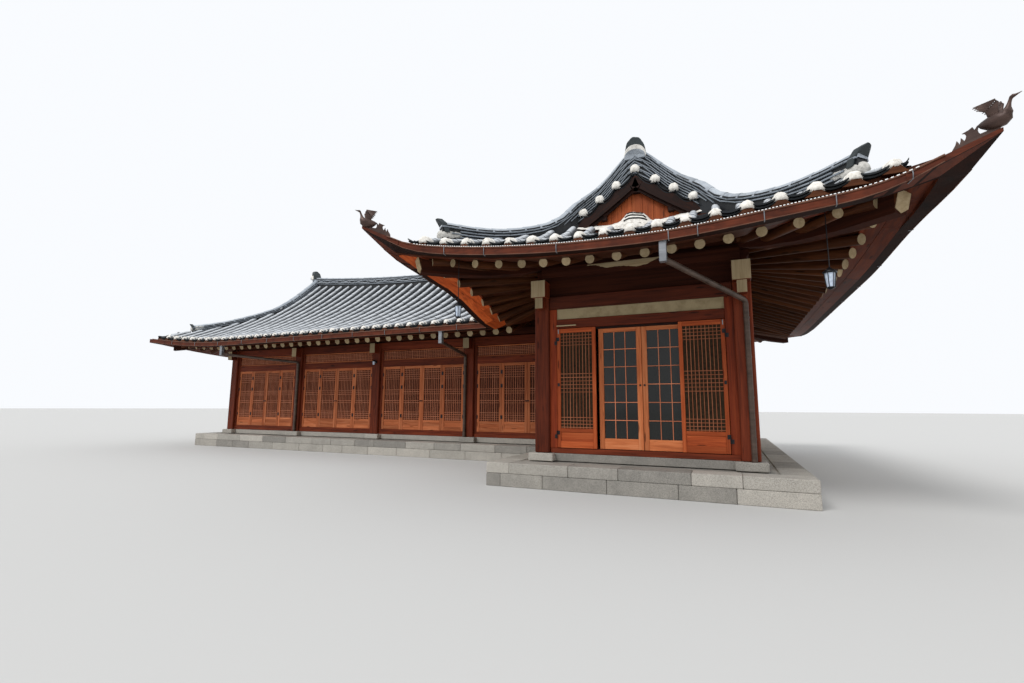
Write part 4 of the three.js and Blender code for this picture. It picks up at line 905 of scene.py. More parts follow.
def end_tile(name, tip, lift, direction, height, lean, plaster=0.11):
    """The dark end tile of a side ridge: a leaning curved shield on a plaster bed."""
    bits = Bits()
    at = Vector((*tip, top_z(*tip) + lift))
    width = 0.22
    direction = level(*direction).normalized()
    up = (Z * math.cos(lean) + direction * math.sin(lean)).normalized()
    arch(bits, at, direction, up, width, height, -0.03, 0.045, 0, 0.4, 0.06, 0.03)
    turn = Matrix((level(direction.y, -direction.x), direction, Z)).transposed()
    lump(bits, at - Z * 0.03 - direction * 0.14, (width * 0.36, 0.08, plaster), turn, 0.06, 1,
         rings=7, sides=14, low=-0.85)
    bits.make(name, [END_TILE, BED], slot="ridge_tile")


def main_end(name, at, direction, width, heights):
    """The end of a main ridge: a dark arched tile with a white collar and a grey one before it."""
    bits = Bits()
    direction = level(*direction).normalized()
    up = (Z + direction * 0.1).normalized()
    for k, (height, grow) in enumerate(zip(heights, (1.0, 1.07, 1.02))):
        arch(bits, Vector(at), direction, up, width * grow, height, -0.08 + 0.05 * k, 0.045 + 0.035 * k, k, 0.5,
             0.045, 0.0 if k else 0.02)
    bits.make(name, [END_TILE, WHITE, RIDGE_TILE], slot="ridge_tile")


# Half the width of a ridge, and its height over the roof
SIDE_RIDGE, MAIN_RIDGE = (0.112, 0.24), (0.155, 0.35)
for s, side_name in ((-1, "left"), (1, "right")):
    ridge(f"hall_{side_name}_ridge", [(s * x, y, up) for x, y, up in RIDGE_PATH], *SIDE_RIDGE, 9, bare=2, start=True)
    end_tile(f"hall_{side_name}_end_tile", (s * 2.74, -1.24), 0.215, (s, -1), 0.245, 0.34)
ridge("hall_main_ridge", [(0, 0.5), (0, RIDGE_Y - 0.17)], *MAIN_RIDGE, 5, cap=0.1)
main_end("hall_main_end_tile", (0.0, 0.42, 5.36), (0, -1), 0.335, (0.39, 0.24, 0.145))
ridge("wing_main_ridge", [(WING_GABLE_X + 0.05, RIDGE_Y), (0.155, RIDGE_Y)], *MAIN_RIDGE, 4, wave=0.1, cap=0.09)
tip = (WING_GABLE_X + 0.03, RIDGE_Y)
main_end("wing_main_end_tile", (*tip, top_z(*tip) + 0.24), (-1, 0), 0.31, (0.34, 0.22, 0.13))
for s, side_name in ((1, "front"), (-1, "rear")):
    path = [(WING_GABLE_X + a, RIDGE_Y - s * b, up) for a, b, up in WING_PATH]
    ridge(f"wing_{side_name}_ridge", path, *SIDE_RIDGE, 5, bare=2)
    end_tile(f"wing_{side_name}_end_tile", path[-1][:2], 0.14, (-1, -s), 0.2, 0.3, 0.09)
tip = (2.83, REAR_EAVE - 0.4)
ridge("rear_hip_ridge", [(0.12, RIDGE_Y + 0.16, 0.0), (2.0, 7.8, 0.0), (*tip, 0.06)], *SIDE_RIDGE, 5, bare=2)
end_tile("rear_hip_end_tile", tip, 0.14, (1, 1), 0.2, 0.3, 0.09)


# Beyond each hip's end tile one last cover tile runs down to the corner over the lip of a pan tile
def corner_tile(name, inner, outer):
    bits = Bits()
    a, b = Vector((*outer, top_z(*outer) + 0.035)), Vector((*inner, top_z(*inner) + 0.055))
    out = level(a.x - b.x, a.y - b.y).normalized()
    side = level(-out.y, out.x)
    half_tile(bits, a, b, side, 0.082, 0.076, 0.6)
    size = 0.055 if name == "front_left" else 0.078
    lump(bits, a + out * 0.005, (size + 0.007, size, size), turn_to(out), 0.07, 2, low=-0.3)
    for layer in range(2):
        def place(u, d, e):
            w = 2 * u - 1
            return (a + side * (w * 0.1) + out * (d - 0.03 * w * w)
                    + Z * (0.06 * w * w - 0.075 - 0.03 * layer + e))

        lip(bits, 9, (0.09 - 0.02 * layer, -0.04), place, 0.5, 1)
    bits.make(f"corner_tile_{name}", [TILE, PAN, WHITE], slot="roof_tile")


for name, inner, outer in (("front_right", (2.78, -1.28), (2.98, -1.48)),
                           ("front_left", (-2.78, -1.28), (-2.98, -1.48)),
                           ("rear_right", (2.86, 8.69), (3.03, 8.88)),
                           ("wing_front", (-13.78, 2.03), (-14.12, 1.68)),
                           ("wing_rear", (-13.78, 8.57), (-14.12, 8.92))):
    corner_tile(name, inner, outer)


# Gables: short tiles along the verge with plastered ends, hanging pan lips, boards behind
def verge(name, stations, origin, out, side):
    """stations are offsets across the gable; origin is the verge's middle, out points away from the house."""
    tiles, plaster = Bits(), Bits()
    origin, out, side = level(*origin), level(*out), level(*side)
    turn = turn_to(out)

    def at(a, depth):
        p = origin + side * a - out * depth
        return at_height(p, top_z(p.x, p.y))

    for a in stations:
        p, q = at(a, 0.0), at(a, 0.26)
        half_tile(tiles, p + Z * 0.1, q + Z * 0.105, side, 0.078, 0.074, 0.3 + 0.5 * rng.random())
        lump(plaster, p + Z * 0.105 + out * 0.005, (0.06, 0.085, 0.085), turn, 0.09, low=-0.6)
    for a, b in zip(stations, stations[1:]):
        for layer in range(3):
            def place(u, d, e):
                p = at(a + (b - a) * (0.04 + 0.92 * u), max(0.0, d)) + (out * -min(0.0, d))
                ends = at(a, 0).lerp(at(b, 0), u).z
                return at_height(p, ends + 0.07 - 0.08 * (1 - (2 * u - 1) ** 2) - 0.034 * layer + e)

            lip(tiles, 9, (-0.04 + 0.028 * layer, 0.3), place, rng.uniform(0.3, 0.9), 1)
    tiles.make(f"{name}_verge_tiles", [TILE, PAN], slot="roof_tile")
    plaster.make(f"{name}_verge_plaster", [WHITE], slot="ridge_tile")


BOARDS_BACK = 0.13


def gable_boards(name, half, low, origin, out, side):
    boards = Bits()
    origin, out, side = level(*origin), level(*out), level(*side)

    def upright(p, z0, z1, width, depth, chamfer, tint=None, mat=0):
        beam(boards, at_height(p, z0), at_height(p, z1), width, depth, out, chamfer, tint, mat)

    def under(p):
        return top_z(p.x, p.y) - EDGE_DEPTH

    count = int(half * 2 / 0.17)
    for i in range(count):
        p = origin + side * (-half + (i + 0.5) * 2 * half / count) - out * BOARDS_BACK
        top = under(p) + 0.03
        if top > low + 0.03:
            upright(p, low, top, 2 * half / count - 0.004, 0.02, 0.002)
    steps = 12
    for s, i in ((s, i) for s in (-1, 1) for i in range(steps)):
        # A bargeboard, and a thin strip in front of the roof's edge, both dark wood as painted shade under the verge
        # tiles
        reach = s * (half * i / steps - (0 if i else 0.03)), s * half * (i + 1) / steps
        p, q = (origin + side * a - out * 0.05 for a in reach)
        beam(boards, at_height(p, under(p) - 0.03), at_height(q, under(q) - 0.03), 0.03, 0.09, Z, 0.003, 0.3, 1)
        p, q = (origin + side * a for a in reach)
        p, q = (at_height(r, top_z(r.x, r.y) - 0.085) + out * 0.006 for r in (p, q))
        beam(boards, p, q, 0.01, 0.17, Z, 0.001, 0.2, 1)
    p = origin + out * 0.016
    top = top_z(p.x, p.y) - 0.04
    upright(p, top - 0.2, top, 0.15, 0.012, 0.002, 0.3, 1)
    for a in (-0.55, 0.0, 0.55):
        p = origin + side * (a * half / 1.15) - out * (BOARDS_BACK - 0.05)
        upright(p, under(p) - 0.13, under(p), 0.1, 0.08, 0.01, 0.3, 1)
    boards.make(f"{name}_boards", [GABLE_WOOD, DARK_WOOD], slot="gable_wood", replaces=[name])


HALL_VERGE = [-1.43, -1.175, -0.897, -0.605, -0.318, 0.0, 0.318, 0.605, 0.897, 1.175, 1.43]
WING_VERGE = [0.3 * i for i in range(-5, 6)]
for name, stations, half, low, place in (
        ("hall", HALL_VERGE, 1.15, 4.1, ((0, GABLE_Y), (0, -1), (1, 0))),
        ("wing", WING_VERGE, 1.45, 4.2, ((WING_GABLE_X, RIDGE_Y), (-1, 0), (0, 1)))):
    verge(name, stations, *place)
    gable_boards(f"{name}_gable", half, low, *place)


# The plaster mound with tile lines at the foot of the hall gable
def mound():
    bits = Bits()
    left, wide, steps, rings = -1.3, 2.38, 44, 7
    points = []
    for r in range(rings + 1):
        v = r / rings
        for i in range(steps + 1):
            x = left + wide * (i / steps)
            crest = 0.012 + 0.19 * math.exp(-((x + 0.02) / 0.21) ** 4) + 0.06 * math.exp(-((x + 0.25) / 0.2) ** 2)
            y = 0.32 + 0.15 * v
            t = (y - EAVE_FRONT) / HALL_RUN
            base = roof_z(x, y, t) - front_sink(x, t) + 0.05
            points.append(Vector((x, 0.33 + 0.13 * v ** 1.5 + rng.uniform(-0.004, 0.004),
                                  base + crest * math.sin(v * math.pi / 2) + rng.uniform(-0.004, 0.004))))
    bits.add(points, ring_faces(rings + 1, steps + 1, False), 0.5, soft=True)
    for v, x0, x1 in ((0.42, -0.21, 0.17), (0.6, -0.19, 0.15), (0.8, -0.16, 0.1)):
        line = []
        for i in range(9):
            u = (between(x0, x1, i, 8) - left) / wide * steps
            k, j = int(u), int(v * rings)
            low, high = (points[n + k].lerp(points[n + k + 1], u - k) for n in (j * (steps + 1), (j + 1) * (steps + 1)))
            line.append(low.lerp(high, v * rings - j) - Y * 0.004)
        tube(bits, line, 0.013, 6, 0.5, 1)
    bits.make("gable_foot_mound", [WHITE, PAN], slot="ridge_tile")


mound()

# Rafters with cream ends, and the boards and battens of the eaves
RAFTER_IN = 0.33  # from the eave's edge in to the rafters' ends


def rafters(name, ends, drop=0.0815, radius=0.0725):
    bits = Bits()
    for outer, inner in ends:
        a, b = flared(*outer, under_z(*outer) - drop), Vector((*inner, under_z(*inner) - drop))
        tube(bits, [a, b], radius, cap=1)
    bits.make(f"{name}_rafters", [EAVE_WOOD, CREAM], "frame_wood")


def fan(c, corner, share=0.16):
    """Inner end of a rafter: rafters beyond the wall's corner draw together towards it."""
    if c > corner[1]:
        return corner[1] + (c - corner[1]) * share
    if c < corner[0]:
        return corner[0] - (corner[0] - c) * share
    return c


FAN_ANGLES = ((-1.3, 46.0), (-0.93, 50.0), (-0.5, 48.0), (-0.08, 45.0), (0.33, 41.0), (0.68, 34.0), (1.03, 27.0),
              (1.38, 20.0), (1.73, 13.5), (2.08, 7.0), (2.43, 0.0))
SIDE_REACH = 1.38  # from a side's rafter ends in to its wall


def fan_inner(place):
    """How far along the wall a fanned rafter starts; place is its end's distance from the hall's front wall line."""
    for (p, a), (q, b) in zip(FAN_ANGLES, FAN_ANGLES[1:]):
        if place <= q:
            angle = a + (b - a) * clamp((place - p) / (q - p), 0, 1)
            return place + math.tan(math.radians(angle)) * SIDE_REACH
    return place


front_y = EAVE_FRONT + RAFTER_IN - 0.02
front_cs = [0.0] + [s * c for c in (0.36, 0.69, 1.02, 1.34, 1.69, 2.06, 2.42) for s in (-1, 1)]
rafters("hall_front", [((c, front_y), (fan(c, (-1.4, 1.4), 0.45), 0.1)) for c in front_cs]
        + [((s * 2.76, front_y), (s * HALL_HALF, -0.2)) for s in (-1, 1)], 0.064, 0.063)
side_ys = [-0.93, -0.5, -0.08, 0.33] + spaced(0.68, 0.35, 19) + [7.33, 7.68, 8.02, 8.38]
rafters("hall_right", [((EAVE_X - RAFTER_IN, y), (1.45, fan_inner(y) if y < 6 else fan(y, (0.1, 7.5))))
                       for y in side_ys])
rafters("hall_left", [((-EAVE_X + RAFTER_IN, y), (-1.45, min(fan_inner(y), 2.9))) for y in side_ys if y < 1.6])
rafters("wing_front", [((x, WING_EAVE + RAFTER_IN - 0.02), (fan(x, (-12.75, 9)), 3.08))
                       for x in spaced(-2.97, -0.318, 35)])
rafters("rear", [((x, REAR_EAVE - RAFTER_IN), (fan(x, (-12.75, 1.4)), 7.52)) for x in spaced(-13.9, 0.35, 48)])
rafters("wing_end", [((LEFT_EAVE + RAFTER_IN, y), (-12.77, fan(y, (3.1, 7.5)))) for y in spaced(1.9, 0.342, 21)])


def eave_boards(name, first, last):
    """Two rows of soffit boards outside the rafter ends and a batten above those ends."""
    bits = Bits()
    face = FACES[name]
    faces_x = face["out"][0] != 0
    run = HALL_RUN if name.startswith("hall") else WING_RUN
    thick, batten_in = (0.005, 0.4) if name == "hall_front" else (0.014, 0.335)
    count = max(3, round(abs(last - first) / 0.46))
    for row, (d0, d1) in enumerate(((0.004, 0.165), (0.17, 0.325))):
        for i in range(count):
            # Boards meet in pairs, with an open joint between pairs
            paired = (i + row) % 2
            c0 = between(first, last, i if paired else i + 0.004, count)
            c1 = between(first, last, i + 0.996 if paired else i + 1, count)
            points = []
            for drop in (0.0, thick):
                for c, t in ((c0, d0 / run), (c1, d0 / run), (c1, d1 / run), (c0, d1 / run)):
                    x, y = face["place"](c, t)
                    points.append(flared(x, y, roof_z(x, y, t) - roof_depth(x, y, t) - drop))
            grain = [((p.y, p.x) if faces_x else (p.x, p.y)) + (p.z,) for p in points]
            grain = [(u + 3 * row, v + (i // 2) * 3.1, w) for u, v, w in grain]
            faces = [(0, 1, 2, 3), (7, 6, 5, 4), (0, 4, 5, 1), (1, 5, 6, 2), (2, 6, 7, 3), (3, 7, 4, 0)]
            if (points[1] - points[0]).cross(points[2] - points[1]).z < 0:
                faces = flipped(faces)
            bits.add(points, faces, ((i + row) // 2 * 0.37) % 1, grain)
    steps = max(8, round(abs(last - first) / 0.35))
    places = (face["place"](between(first, last, i, steps), batten_in / run) for i in range(steps + 1))
    line = [flared(x, y, under_z(x, y) - 0.006) for x, y in places]
    for p, q in zip(line, line[1:]):
        beam(bits, p, q, 0.05, 0.02, Z, 0.003, 0.35, 1)
    # The hall's left eave takes the lit soffit wood (painted light), the others the dark one (painted shade)
    bits.make(f"{name}_soffit_boards", [SOFFIT_PAINTED_LIGHT if name == "hall_left" else SOFFIT, FRAME_WOOD], "frame_wood")


for name, first, last in (("hall_front", -3.1, 3.1), ("hall_right", -1.6, 9.0), ("hall_left", -1.6, 1.56),
                          ("wing_front", -14.25, -3.2), ("rear", -14.25, 3.1), ("wing_end", 1.6, 9.0)):
    eave_boards(name, first, last)


# Cream five-sided plates on the ends of the hip rafters
def hip_plate(name, s):
    bits = Bits()
    x, y = s * 3.0, -1.44
    along = level(s * 1500, -1940).normalized()
    side = level(-along.y, along.x)
    top = under_z(x, y) - 0.004
    outline = [(-0.086, 0.03, 0.075), (0.086, 0.03, 0.075), (0.086, -0.185, 0.012), (0.0, -0.232, 0.004),
               (-0.086, -0.185, 0.012)]
    for depths, mat in (((None, 0.0), 1), ((0.0, 0.008), 0)):
        points = [level(x, y) + side * u + Z * (top + v) + along * (-0.02 if e is None else lean + e)
                  for e in depths for u, v, lean in outline]
        bits.add(points, ring_faces(2, 5) + [(4, 3, 2, 1, 0), (5, 6, 7, 8, 9)], 0.6, None, mat)
    bits.make(name, [CREAM, EAVE_WOOD], "frame_wood")


hip_plate("hip_plate_right", 1)
hip_plate("hip_plate_left", -1)

# Hinges of the lattice leaves: their axis, the heights where the frame's knuckle meets the leaf's, and its length
HINGE_X, HINGE_Y, HINGE_ZS, KNUCKLE = 1.257, -0.086, (0.76, 2.25), 0.06


def knuckle(bits, s, z0, z1, x0, x1, y0, y1, mat):
    """One half of a hinge with its strap from x0 to x1."""
    tube(bits, [(s * HINGE_X, HINGE_Y, z0), (s * HINGE_X, HINGE_Y, z1)], 0.008, 10, 0.5, mat)
    block(bits, *sorted((s * x0, s * x1)), y0, y1, z0, z1, 0.0, 0.5, mat)


# Timber of the hall front
def hall_timber():
    bits = Bits()
    for s in (-1, 1):
        x = s * HALL_HALF
        post(bits, x, 0, COLUMN_HALF, STONE_TOP + GAP, 2.99, 0.014)
        block(bits, *sorted((s * 1.26, s * 1.382)), -0.06, 0.06, 0.551, 2.779, 0.005, None, 5)
        # Double beam ends and their painted faces
        for half, *rest in ((0.122, -0.298, -0.052, 2.956, 3.235, 0.012),
                            (0.066, -0.258, -0.1, 2.778, 2.957, 0.008),
                            (0.119, -0.3, -0.297, 2.958, 3.232, 0.0, None, 1),
                            (0.064, -0.26, -0.257, 2.78, 2.956, 0.0, None, 1)):
            block(bits, x - half, x + half, *rest)
        for z in HINGE_ZS:
            knuckle(bits, s, z - KNUCKLE, z, 1.262, 1.3, -0.066, -0.06, 2)
    # Sill, door head, stop, lintel and the glass leaves' rail; then a cream bar on the door head
    for half, *rest in ((1.379, -0.06, 0.06, STONE_TOP + GAP, FLOOR_TOP, 0.005),
                        (1.259, -0.06, 0.06, 2.46, 2.61, 0.006),
                        (1.259, -0.03, 0.03, 2.424, 2.459, 0.002, 0.1, 3),
                        (1.379, -0.09, 0.09, 2.78, 2.99, 0.01, None, 4),
                        (1.257, -0.003, 0.007, 0.549, 0.5577, 0.0, 0.5, 2)):
        block(bits, -half, half, *rest)
    block(bits, -1.25, -0.92, -0.12, -0.098, 2.485, 2.503, 0.004, 0.9, 1)
    for x in (-1.2, -0.97):
        block(bits, x, x + 0.012, -0.1, -0.058, 2.488, 2.5, 0.0, 0.5, 2)
    bits.make("hall_timber", [FRAME_WOOD, CREAM, DARK_METAL, DARK_WOOD, LINTEL_WOOD, JAMB_WOOD], "frame_wood",
              ["hall_front_frame"])


hall_timber()


# Plaster on the front purlin under the rafters, drawn only where light falls on it and deepest in the middle, so its
# extent and outline are painted light
def purlin_plaster_and_painted_light():
    bits = Bits()
    steps, radius = 48, 0.1325
    points = []
    for i in range(steps + 1):
        x = -0.72 + 1.16 * i / steps
        deep = 8 + 26 * smooth(-0.62, -0.4, x) + 14 * max(0, 1 - abs(x - 0.06) / 0.22) - 30 * smooth(0.2, 0.44, x)
        for k in range(4):
            angle = math.radians(12 - (deep + rng.uniform(-2, 2)) * k / 3)
            points.append(Vector((x, -radius * math.cos(angle), 3.43 + radius * math.sin(angle))))
    bits.add(points, ring_faces(steps + 1, 4, False), 0.5, soft=True)
    bits.make("purlin_plaster_and_painted_light", [CREAM], "frame_wood")


purlin_plaster_and_painted_light()


# Leaves and lattices
def leaf_frame(bits, x0, x1, y0, y1, z0, z1, stile, top, bottom, mat=0):
    for a, b in ((x0, x0 + stile), (x1 - stile, x1)):
        block(bits, a, b, y0, y1, z0, z1, 0.004, None, mat)
    for a, b in ((z1 - top, z1), (z0, z0 + bottom)):
        block(bits, x0 + stile, x1 - stile, y0 + 0.001, y1 - 0.001, a, b, 0.004, None, mat)


def lattice(bits, x0, x1, y0, y1, z0, z1, uprights, rows, bar, mat=1):
    for i in range(uprights):
        x = between(x0, x1, i + 1, uprights + 1)
        block(bits, x - bar / 2, x + bar / 2, y0, y1, z0, z1, 0.0, None, mat)
    for z in rows:
        if z0 < z < z1:
            block(bits, x0, x1, y0 - 0.001, y1, z - bar / 2, z + bar / 2, 0.0, None, mat)


LEAF_FOOT = 0.558
HALL_ROWS = [2.334, 2.284, 2.232, 2.18, 1.718, 1.66, 1.602, 1.544, 1.486, 1.428, 1.03, 0.979, 0.928, 0.877]
for s, side_name in ((-1, "left"), (1, "right")):
    bits = Bits()
    x0, x1 = sorted((s * 1.254, s * 0.622))
    stile = 0.056
    leaf_frame(bits, x0, x1, -0.072, -0.03, LEAF_FOOT, 2.452, stile, 0.07, 0.1)
    block(bits, x0 + stile, x1 - stile, -0.07, -0.032, 0.8, 0.86, 0.004)
    block(bits, x0 + 0.055, x1 - 0.055, -0.058, -0.04, 0.65, 0.805)
    lattice(bits, x0 + stile, x1 - stile, -0.063, -0.053, 0.86, 2.382, 9, HALL_ROWS, 0.009)
    # The backing behind the lattice: painted shade of the dark room behind
    block(bits, x0 + 0.052, x1 - 0.052, -0.05, -0.046, 0.86, 2.385, 0.0, 0.5, 2)
    for z in HINGE_ZS:
        knuckle(bits, s, z + GAP, z + KNUCKLE, 1.215, 1.252, -0.078, -0.072, 3)
    lo, hi = sorted((s * 1.222, s * 1.236))
    block(bits, lo, hi, -0.079, -0.072, 2.37, 2.44, 0.0, 0.5, 4)
    block(bits, lo - 0.01, hi + 0.01, -0.08, -0.073, 1.52, 1.57, 0.002, 0.5, 3)
    bits.make(f"lattice_leaf_{side_name}", [DOOR_WOOD, LATTICE_WOOD, BACKING, DARK_METAL, STRAP], "door_wood",
              [f"lattice_door_{side_name}"], f"lattice_leaf_{side_name}")

GLASS_ROWS = [2.087, 1.813, 1.54, 1.267, 0.994]
for side_name, x0, x1, pull in (("left", -0.586, 0.074, 0.045), ("right", 0.08, 0.74, 0.11)):
    bits = Bits()
    leaf_frame(bits, x0, x1, -0.018, 0.022, LEAF_FOOT, 2.422, 0.076, 0.063, 0.16)
    lattice(bits, x0 + 0.075, x1 - 0.075, -0.012, 0.0, 0.715, 2.36, 2, GLASS_ROWS, 0.0105)
    tube(bits, [(pull, -0.0185, 1.524), (pull, -0.024, 1.524)], 0.016, 14, 0.5, 2)
    bits.make(f"glass_leaf_{side_name}", [STILE_WOOD, BAR_WOOD, DARK_METAL], "door_wood",
              [f"glass_door_{side_name}"], f"glass_leaf_{side_name}")

# Heights of the wing's front: underside and top of the lintel
LINTEL_Z0, LINTEL_Z1 = 2.68, 2.879


# Wing front: posts, sill, lintel and cream-faced beam ends, then the leaves of each bay with their hinges, drawn shut
# and fixed to the house
def wing_timber():
    bits = Bits()
    for x in COLUMNS:
        post(bits, x, WING_FRONT, COLUMN_HALF, STONE_TOP + GAP, LINTEL_Z1, 0.012)
        if x != COLUMNS[-1]:
            block(bits, x - 0.083, x + 0.083, 2.702, 2.94, 2.592, 2.848, 0.01)
            block(bits, x - 0.08, x + 0.08, 2.7, 2.703, 2.596, 2.845, 0.0, None, 1)
    for a, b in zip(COLUMNS, COLUMNS[1:]):
        block(bits, a + COLUMN_HALF, b - COLUMN_HALF, 2.94, 3.06, STONE_TOP + GAP, FLOOR_TOP, 0.004)
        block(bits, a + COLUMN_HALF, b - COLUMN_HALF, 2.91, 3.09, LINTEL_Z0, LINTEL_Z1, 0.008)
    bits.make("wing_timber", [FRAME_WOOD, CREAM], "frame_wood", ["wing_front_frame"])


wing_timber()
WING_ROWS = [2.127, 2.071, 2.015, 1.958, 1.9, 1.62, 1.566, 1.512, 1.34, 1.286, 1.05, 0.996, 0.942, 0.888]
TRANSOM_ROWS = [2.466, 2.502, 2.538, 2.574, 2.61]


def wing_bay(index):
    bits = Bits()
    a, b = COLUMNS[index] + COLUMN_HALF + GAP, COLUMNS[index + 1] - COLUMN_HALF - GAP
    jamb, front, back = 0.065, 2.95, 3.05
    x0, x1 = a + jamb, b - jamb
    for lo, hi in ((a, x0), (x1, b)):
        block(bits, lo, hi, front, back, 0.551, 2.679, 0.004)
    # Sill and middle rail, the transom window's rails and its backing, whose dark colour is painted shade of the room
    # behind
    for rest in ((front, back, 0.551, 0.6, 0.003), (front + 0.002, back, 2.236, 2.405, 0.005),
                 (2.97, 3.006, 2.405, 2.432, 0.003, None, 1), (2.97, 3.006, 2.643, 2.67, 0.003, None, 1),
                 (2.985, 2.99, 2.43, 2.645, 0.0, 0.5, 3)):
        block(bits, x0, x1, *rest)
    lattice(bits, x0, x1, 2.972, 2.984, 2.43, 2.645, round((x1 - x0) / 0.055), TRANSOM_ROWS, 0.01, 2)
    width = (x1 - x0) / 4
    for k in range(4):
        l, r = x0 + k * width + 0.0015, x0 + (k + 1) * width - 0.0015
        leaf_frame(bits, l, r, 2.964, 3.0, 0.6, 2.235, 0.068, 0.07, 0.1, 1)
        for rest in ((2.968, 2.996, 0.79, 0.85, 0.003, None, 1), (2.976, 2.99, 0.695, 0.795, 0.004, None, 1)):
            block(bits, l + 0.066, r - 0.066, *rest)
        lattice(bits, l + 0.068, r - 0.068, 2.968, 2.98, 0.85, 2.168, 8, WING_ROWS, 0.0105, 2)
        # The backing behind the lattice: painted shade of the dark room behind
        block(bits, l + 0.066, r - 0.066, 2.982, 2.986, 0.85, 2.17, 0.0, 0.5, 3)
    for x in (x0, x0 + width, x0 + 3 * width, x1):
        for z in (2.02, 1.69, 0.95):
            block(bits, x - 0.026, x + 0.026, 2.958, 2.966, z - 0.045, z + 0.045, 0.002, 0.4, 4)
    middle = x0 + 2 * width
    tube(bits, [(middle - 0.05, 2.945, 1.331), (middle + 0.05, 2.945, 1.331)], 0.012, 8, 0.4, 4)
    bits.make(f"wing_leaves_{index + 1}", [FRAME_WOOD, LEAF_WOOD, WING_BAR_WOOD, WING_BACKING, DARK_METAL],
              "door_wood", [f"wing_doors_{index + 1}"])


for bay in range(4):
    wing_bay(bay)


# Plinth of dressed stones: two courses with a paved top, post stones and sill stones
def plinth():
    bits = Bits()
    outline = [(-2.2, -0.7), (2.2, -0.7), (2.2, 8.3), (-13.55, 8.3), (-13.55, 2.3), (-2.2, 2.3)]
    inner_corner = outline[-1]
    block(bits, -13.45, 2.1, 2.4, 8.2, 0.01, 0.335, 0.0, 0.3)
    block(bits, -2.1, 2.1, -0.6, 2.5, 0.01, 0.3352, 0.0, 0.3)
    for start, end in zip(outline, outline[1:] + outline[:1]):
        a, b = level(*start), level(*end)
        along = (b - a).normalized()
        inward = level(-along.y, along.x)
        for depth, z0, z1 in ((0.24, 0.0, 0.19), (0.38, 0.193, PLINTH_TOP)):
            s = 0.0 if start == inner_corner else depth
            length = (b - a).length + (depth if end == inner_corner else 0)
            while s < length - 0.01:
                size = min(length - s, rng.uniform(0.6, 1.0))
                if length - s - size < 0.3:
                    size = length - s
                p, q = (a + along * t + inward * (depth / 2) + Z * ((z0 + z1) / 2) for t in (s, s + size - 0.004))
                beam(bits, p, q, depth, z1 - z0, Z, 0.008)
                s += size
    left, low = COLUMNS[0], PLINTH_TOP - 0.001
    for x, y in [(-HALL_HALF, 0), (HALL_HALF, 0)] + [(x, WING_FRONT) for x in COLUMNS] \
            + [(HALL_HALF, y) for y in (WING_FRONT, RIDGE_Y, REAR)] + [(x, REAR) for x in COLUMNS] + [(left, RIDGE_Y)]:
        post(bits, x, y, 0.205, low, STONE_TOP, 0.012)
    for x0, y0, x1, y1 in ((-HALL_HALF, 0, HALL_HALF, 0), (HALL_HALF, 0, HALL_HALF, REAR),
                           (left, REAR, HALL_HALF, REAR), (left, WING_FRONT, left, REAR),
                           (left, WING_FRONT, -HALL_HALF, WING_FRONT), (-HALL_HALF, 0, -HALL_HALF, WING_FRONT)):
        block(bits, x0 - 0.058, x1 + 0.058, y0 - 0.058, y1 + 0.058, low, STONE_TOP - 0.001)
    bits.make("plinth_stones", [STONE], "stone", ["stone_plinth"])


plinth()


# Gutters: how far each one hangs lower, and a point at `a` out from the eave's edge and `b` over it
def gutter_drop(x, y):
    from_corner = math.hypot(x - EAVE_X, y - EAVE_FRONT)
    return (0.03 * smooth(-1.5, 0.8, x) * (1 - smooth(EAVE_FRONT, EAVE_FRONT + 1.2, y))
            + 0.05 * math.exp(-((from_corner - 0.45) / 0.65) ** 2))


def gutter_edge(x, y, ox, oy, a, b):
    fx, fy = flare(x, y)
    z = eave_height(x, y) + corner_rise(x, y) + b - gutter_drop(x, y)
    # The two front corners are drawn out to beaks
    near = max(0, 1 - math.hypot(abs(x) - EAVE_X, y - EAVE_FRONT) / 0.75) ** 2
    pull = near * a / 0.14
    rise = near * pull * (0.14 if x > 0 else 0.24) + (-0.04 - b) * 0.65 * pull
    return Vector((fx + ox * a + math.copysign(0.22, x) * pull, fy + oy * a - 0.22 * pull, z + rise))


CHANNEL = [(0.0, -0.03), (0.0, -0.148), (0.14, -0.148), (0.14, -0.04), (0.137, -0.04), (0.137, -0.145),
           (0.003, -0.145), (0.003, -0.03)]


def gutter_channel(node_name, start, end, out, e0, e1):
    """The sheet channel of one eave; e0 and e1 say which way its mitred ends run outwards."""
    bits = Bits()
    (x0, y0), (x1, y1) = start, end
    long = math.hypot(x1 - x0, y1 - y0)
    along = level((x1 - x0) / long, (y1 - y0) / long)
    count = round(long / 0.19)
    points = []
    for i in range(count + 1):
        u = i / count
        for a, b in CHANNEL:
            shift = -e0 * a if i == 0 else e1 * a if i == count else 0
            points.append(gutter_edge(x0 + (x1 - x0) * u, y0 + (y1 - y0) * u, *out, a, b) + along * shift)
    size = len(CHANNEL)
    middle = sum(points[:size], Vector()) / size
    facing = (points[1] - points[0]).cross(points[size] - points[0])
    inward = facing.dot(middle - points[0]) > 0
    for k in range(size):
        n = (k + 1) % size
        faces = [(i * size + k, i * size + n, (i + 1) * size + n, (i + 1) * size + k) for i in range(count)]
        # The bottom sheet takes the darker copper: painted shade on the gutter's underside
        bits.add(points, faces if inward else flipped(faces), 0.5, None, 1 if k == 1 else 0)
    bits.make(f"{node_name}_channel", [COPPER, COPPER_PAINTED_SHADE], "gutter_metal", [node_name])


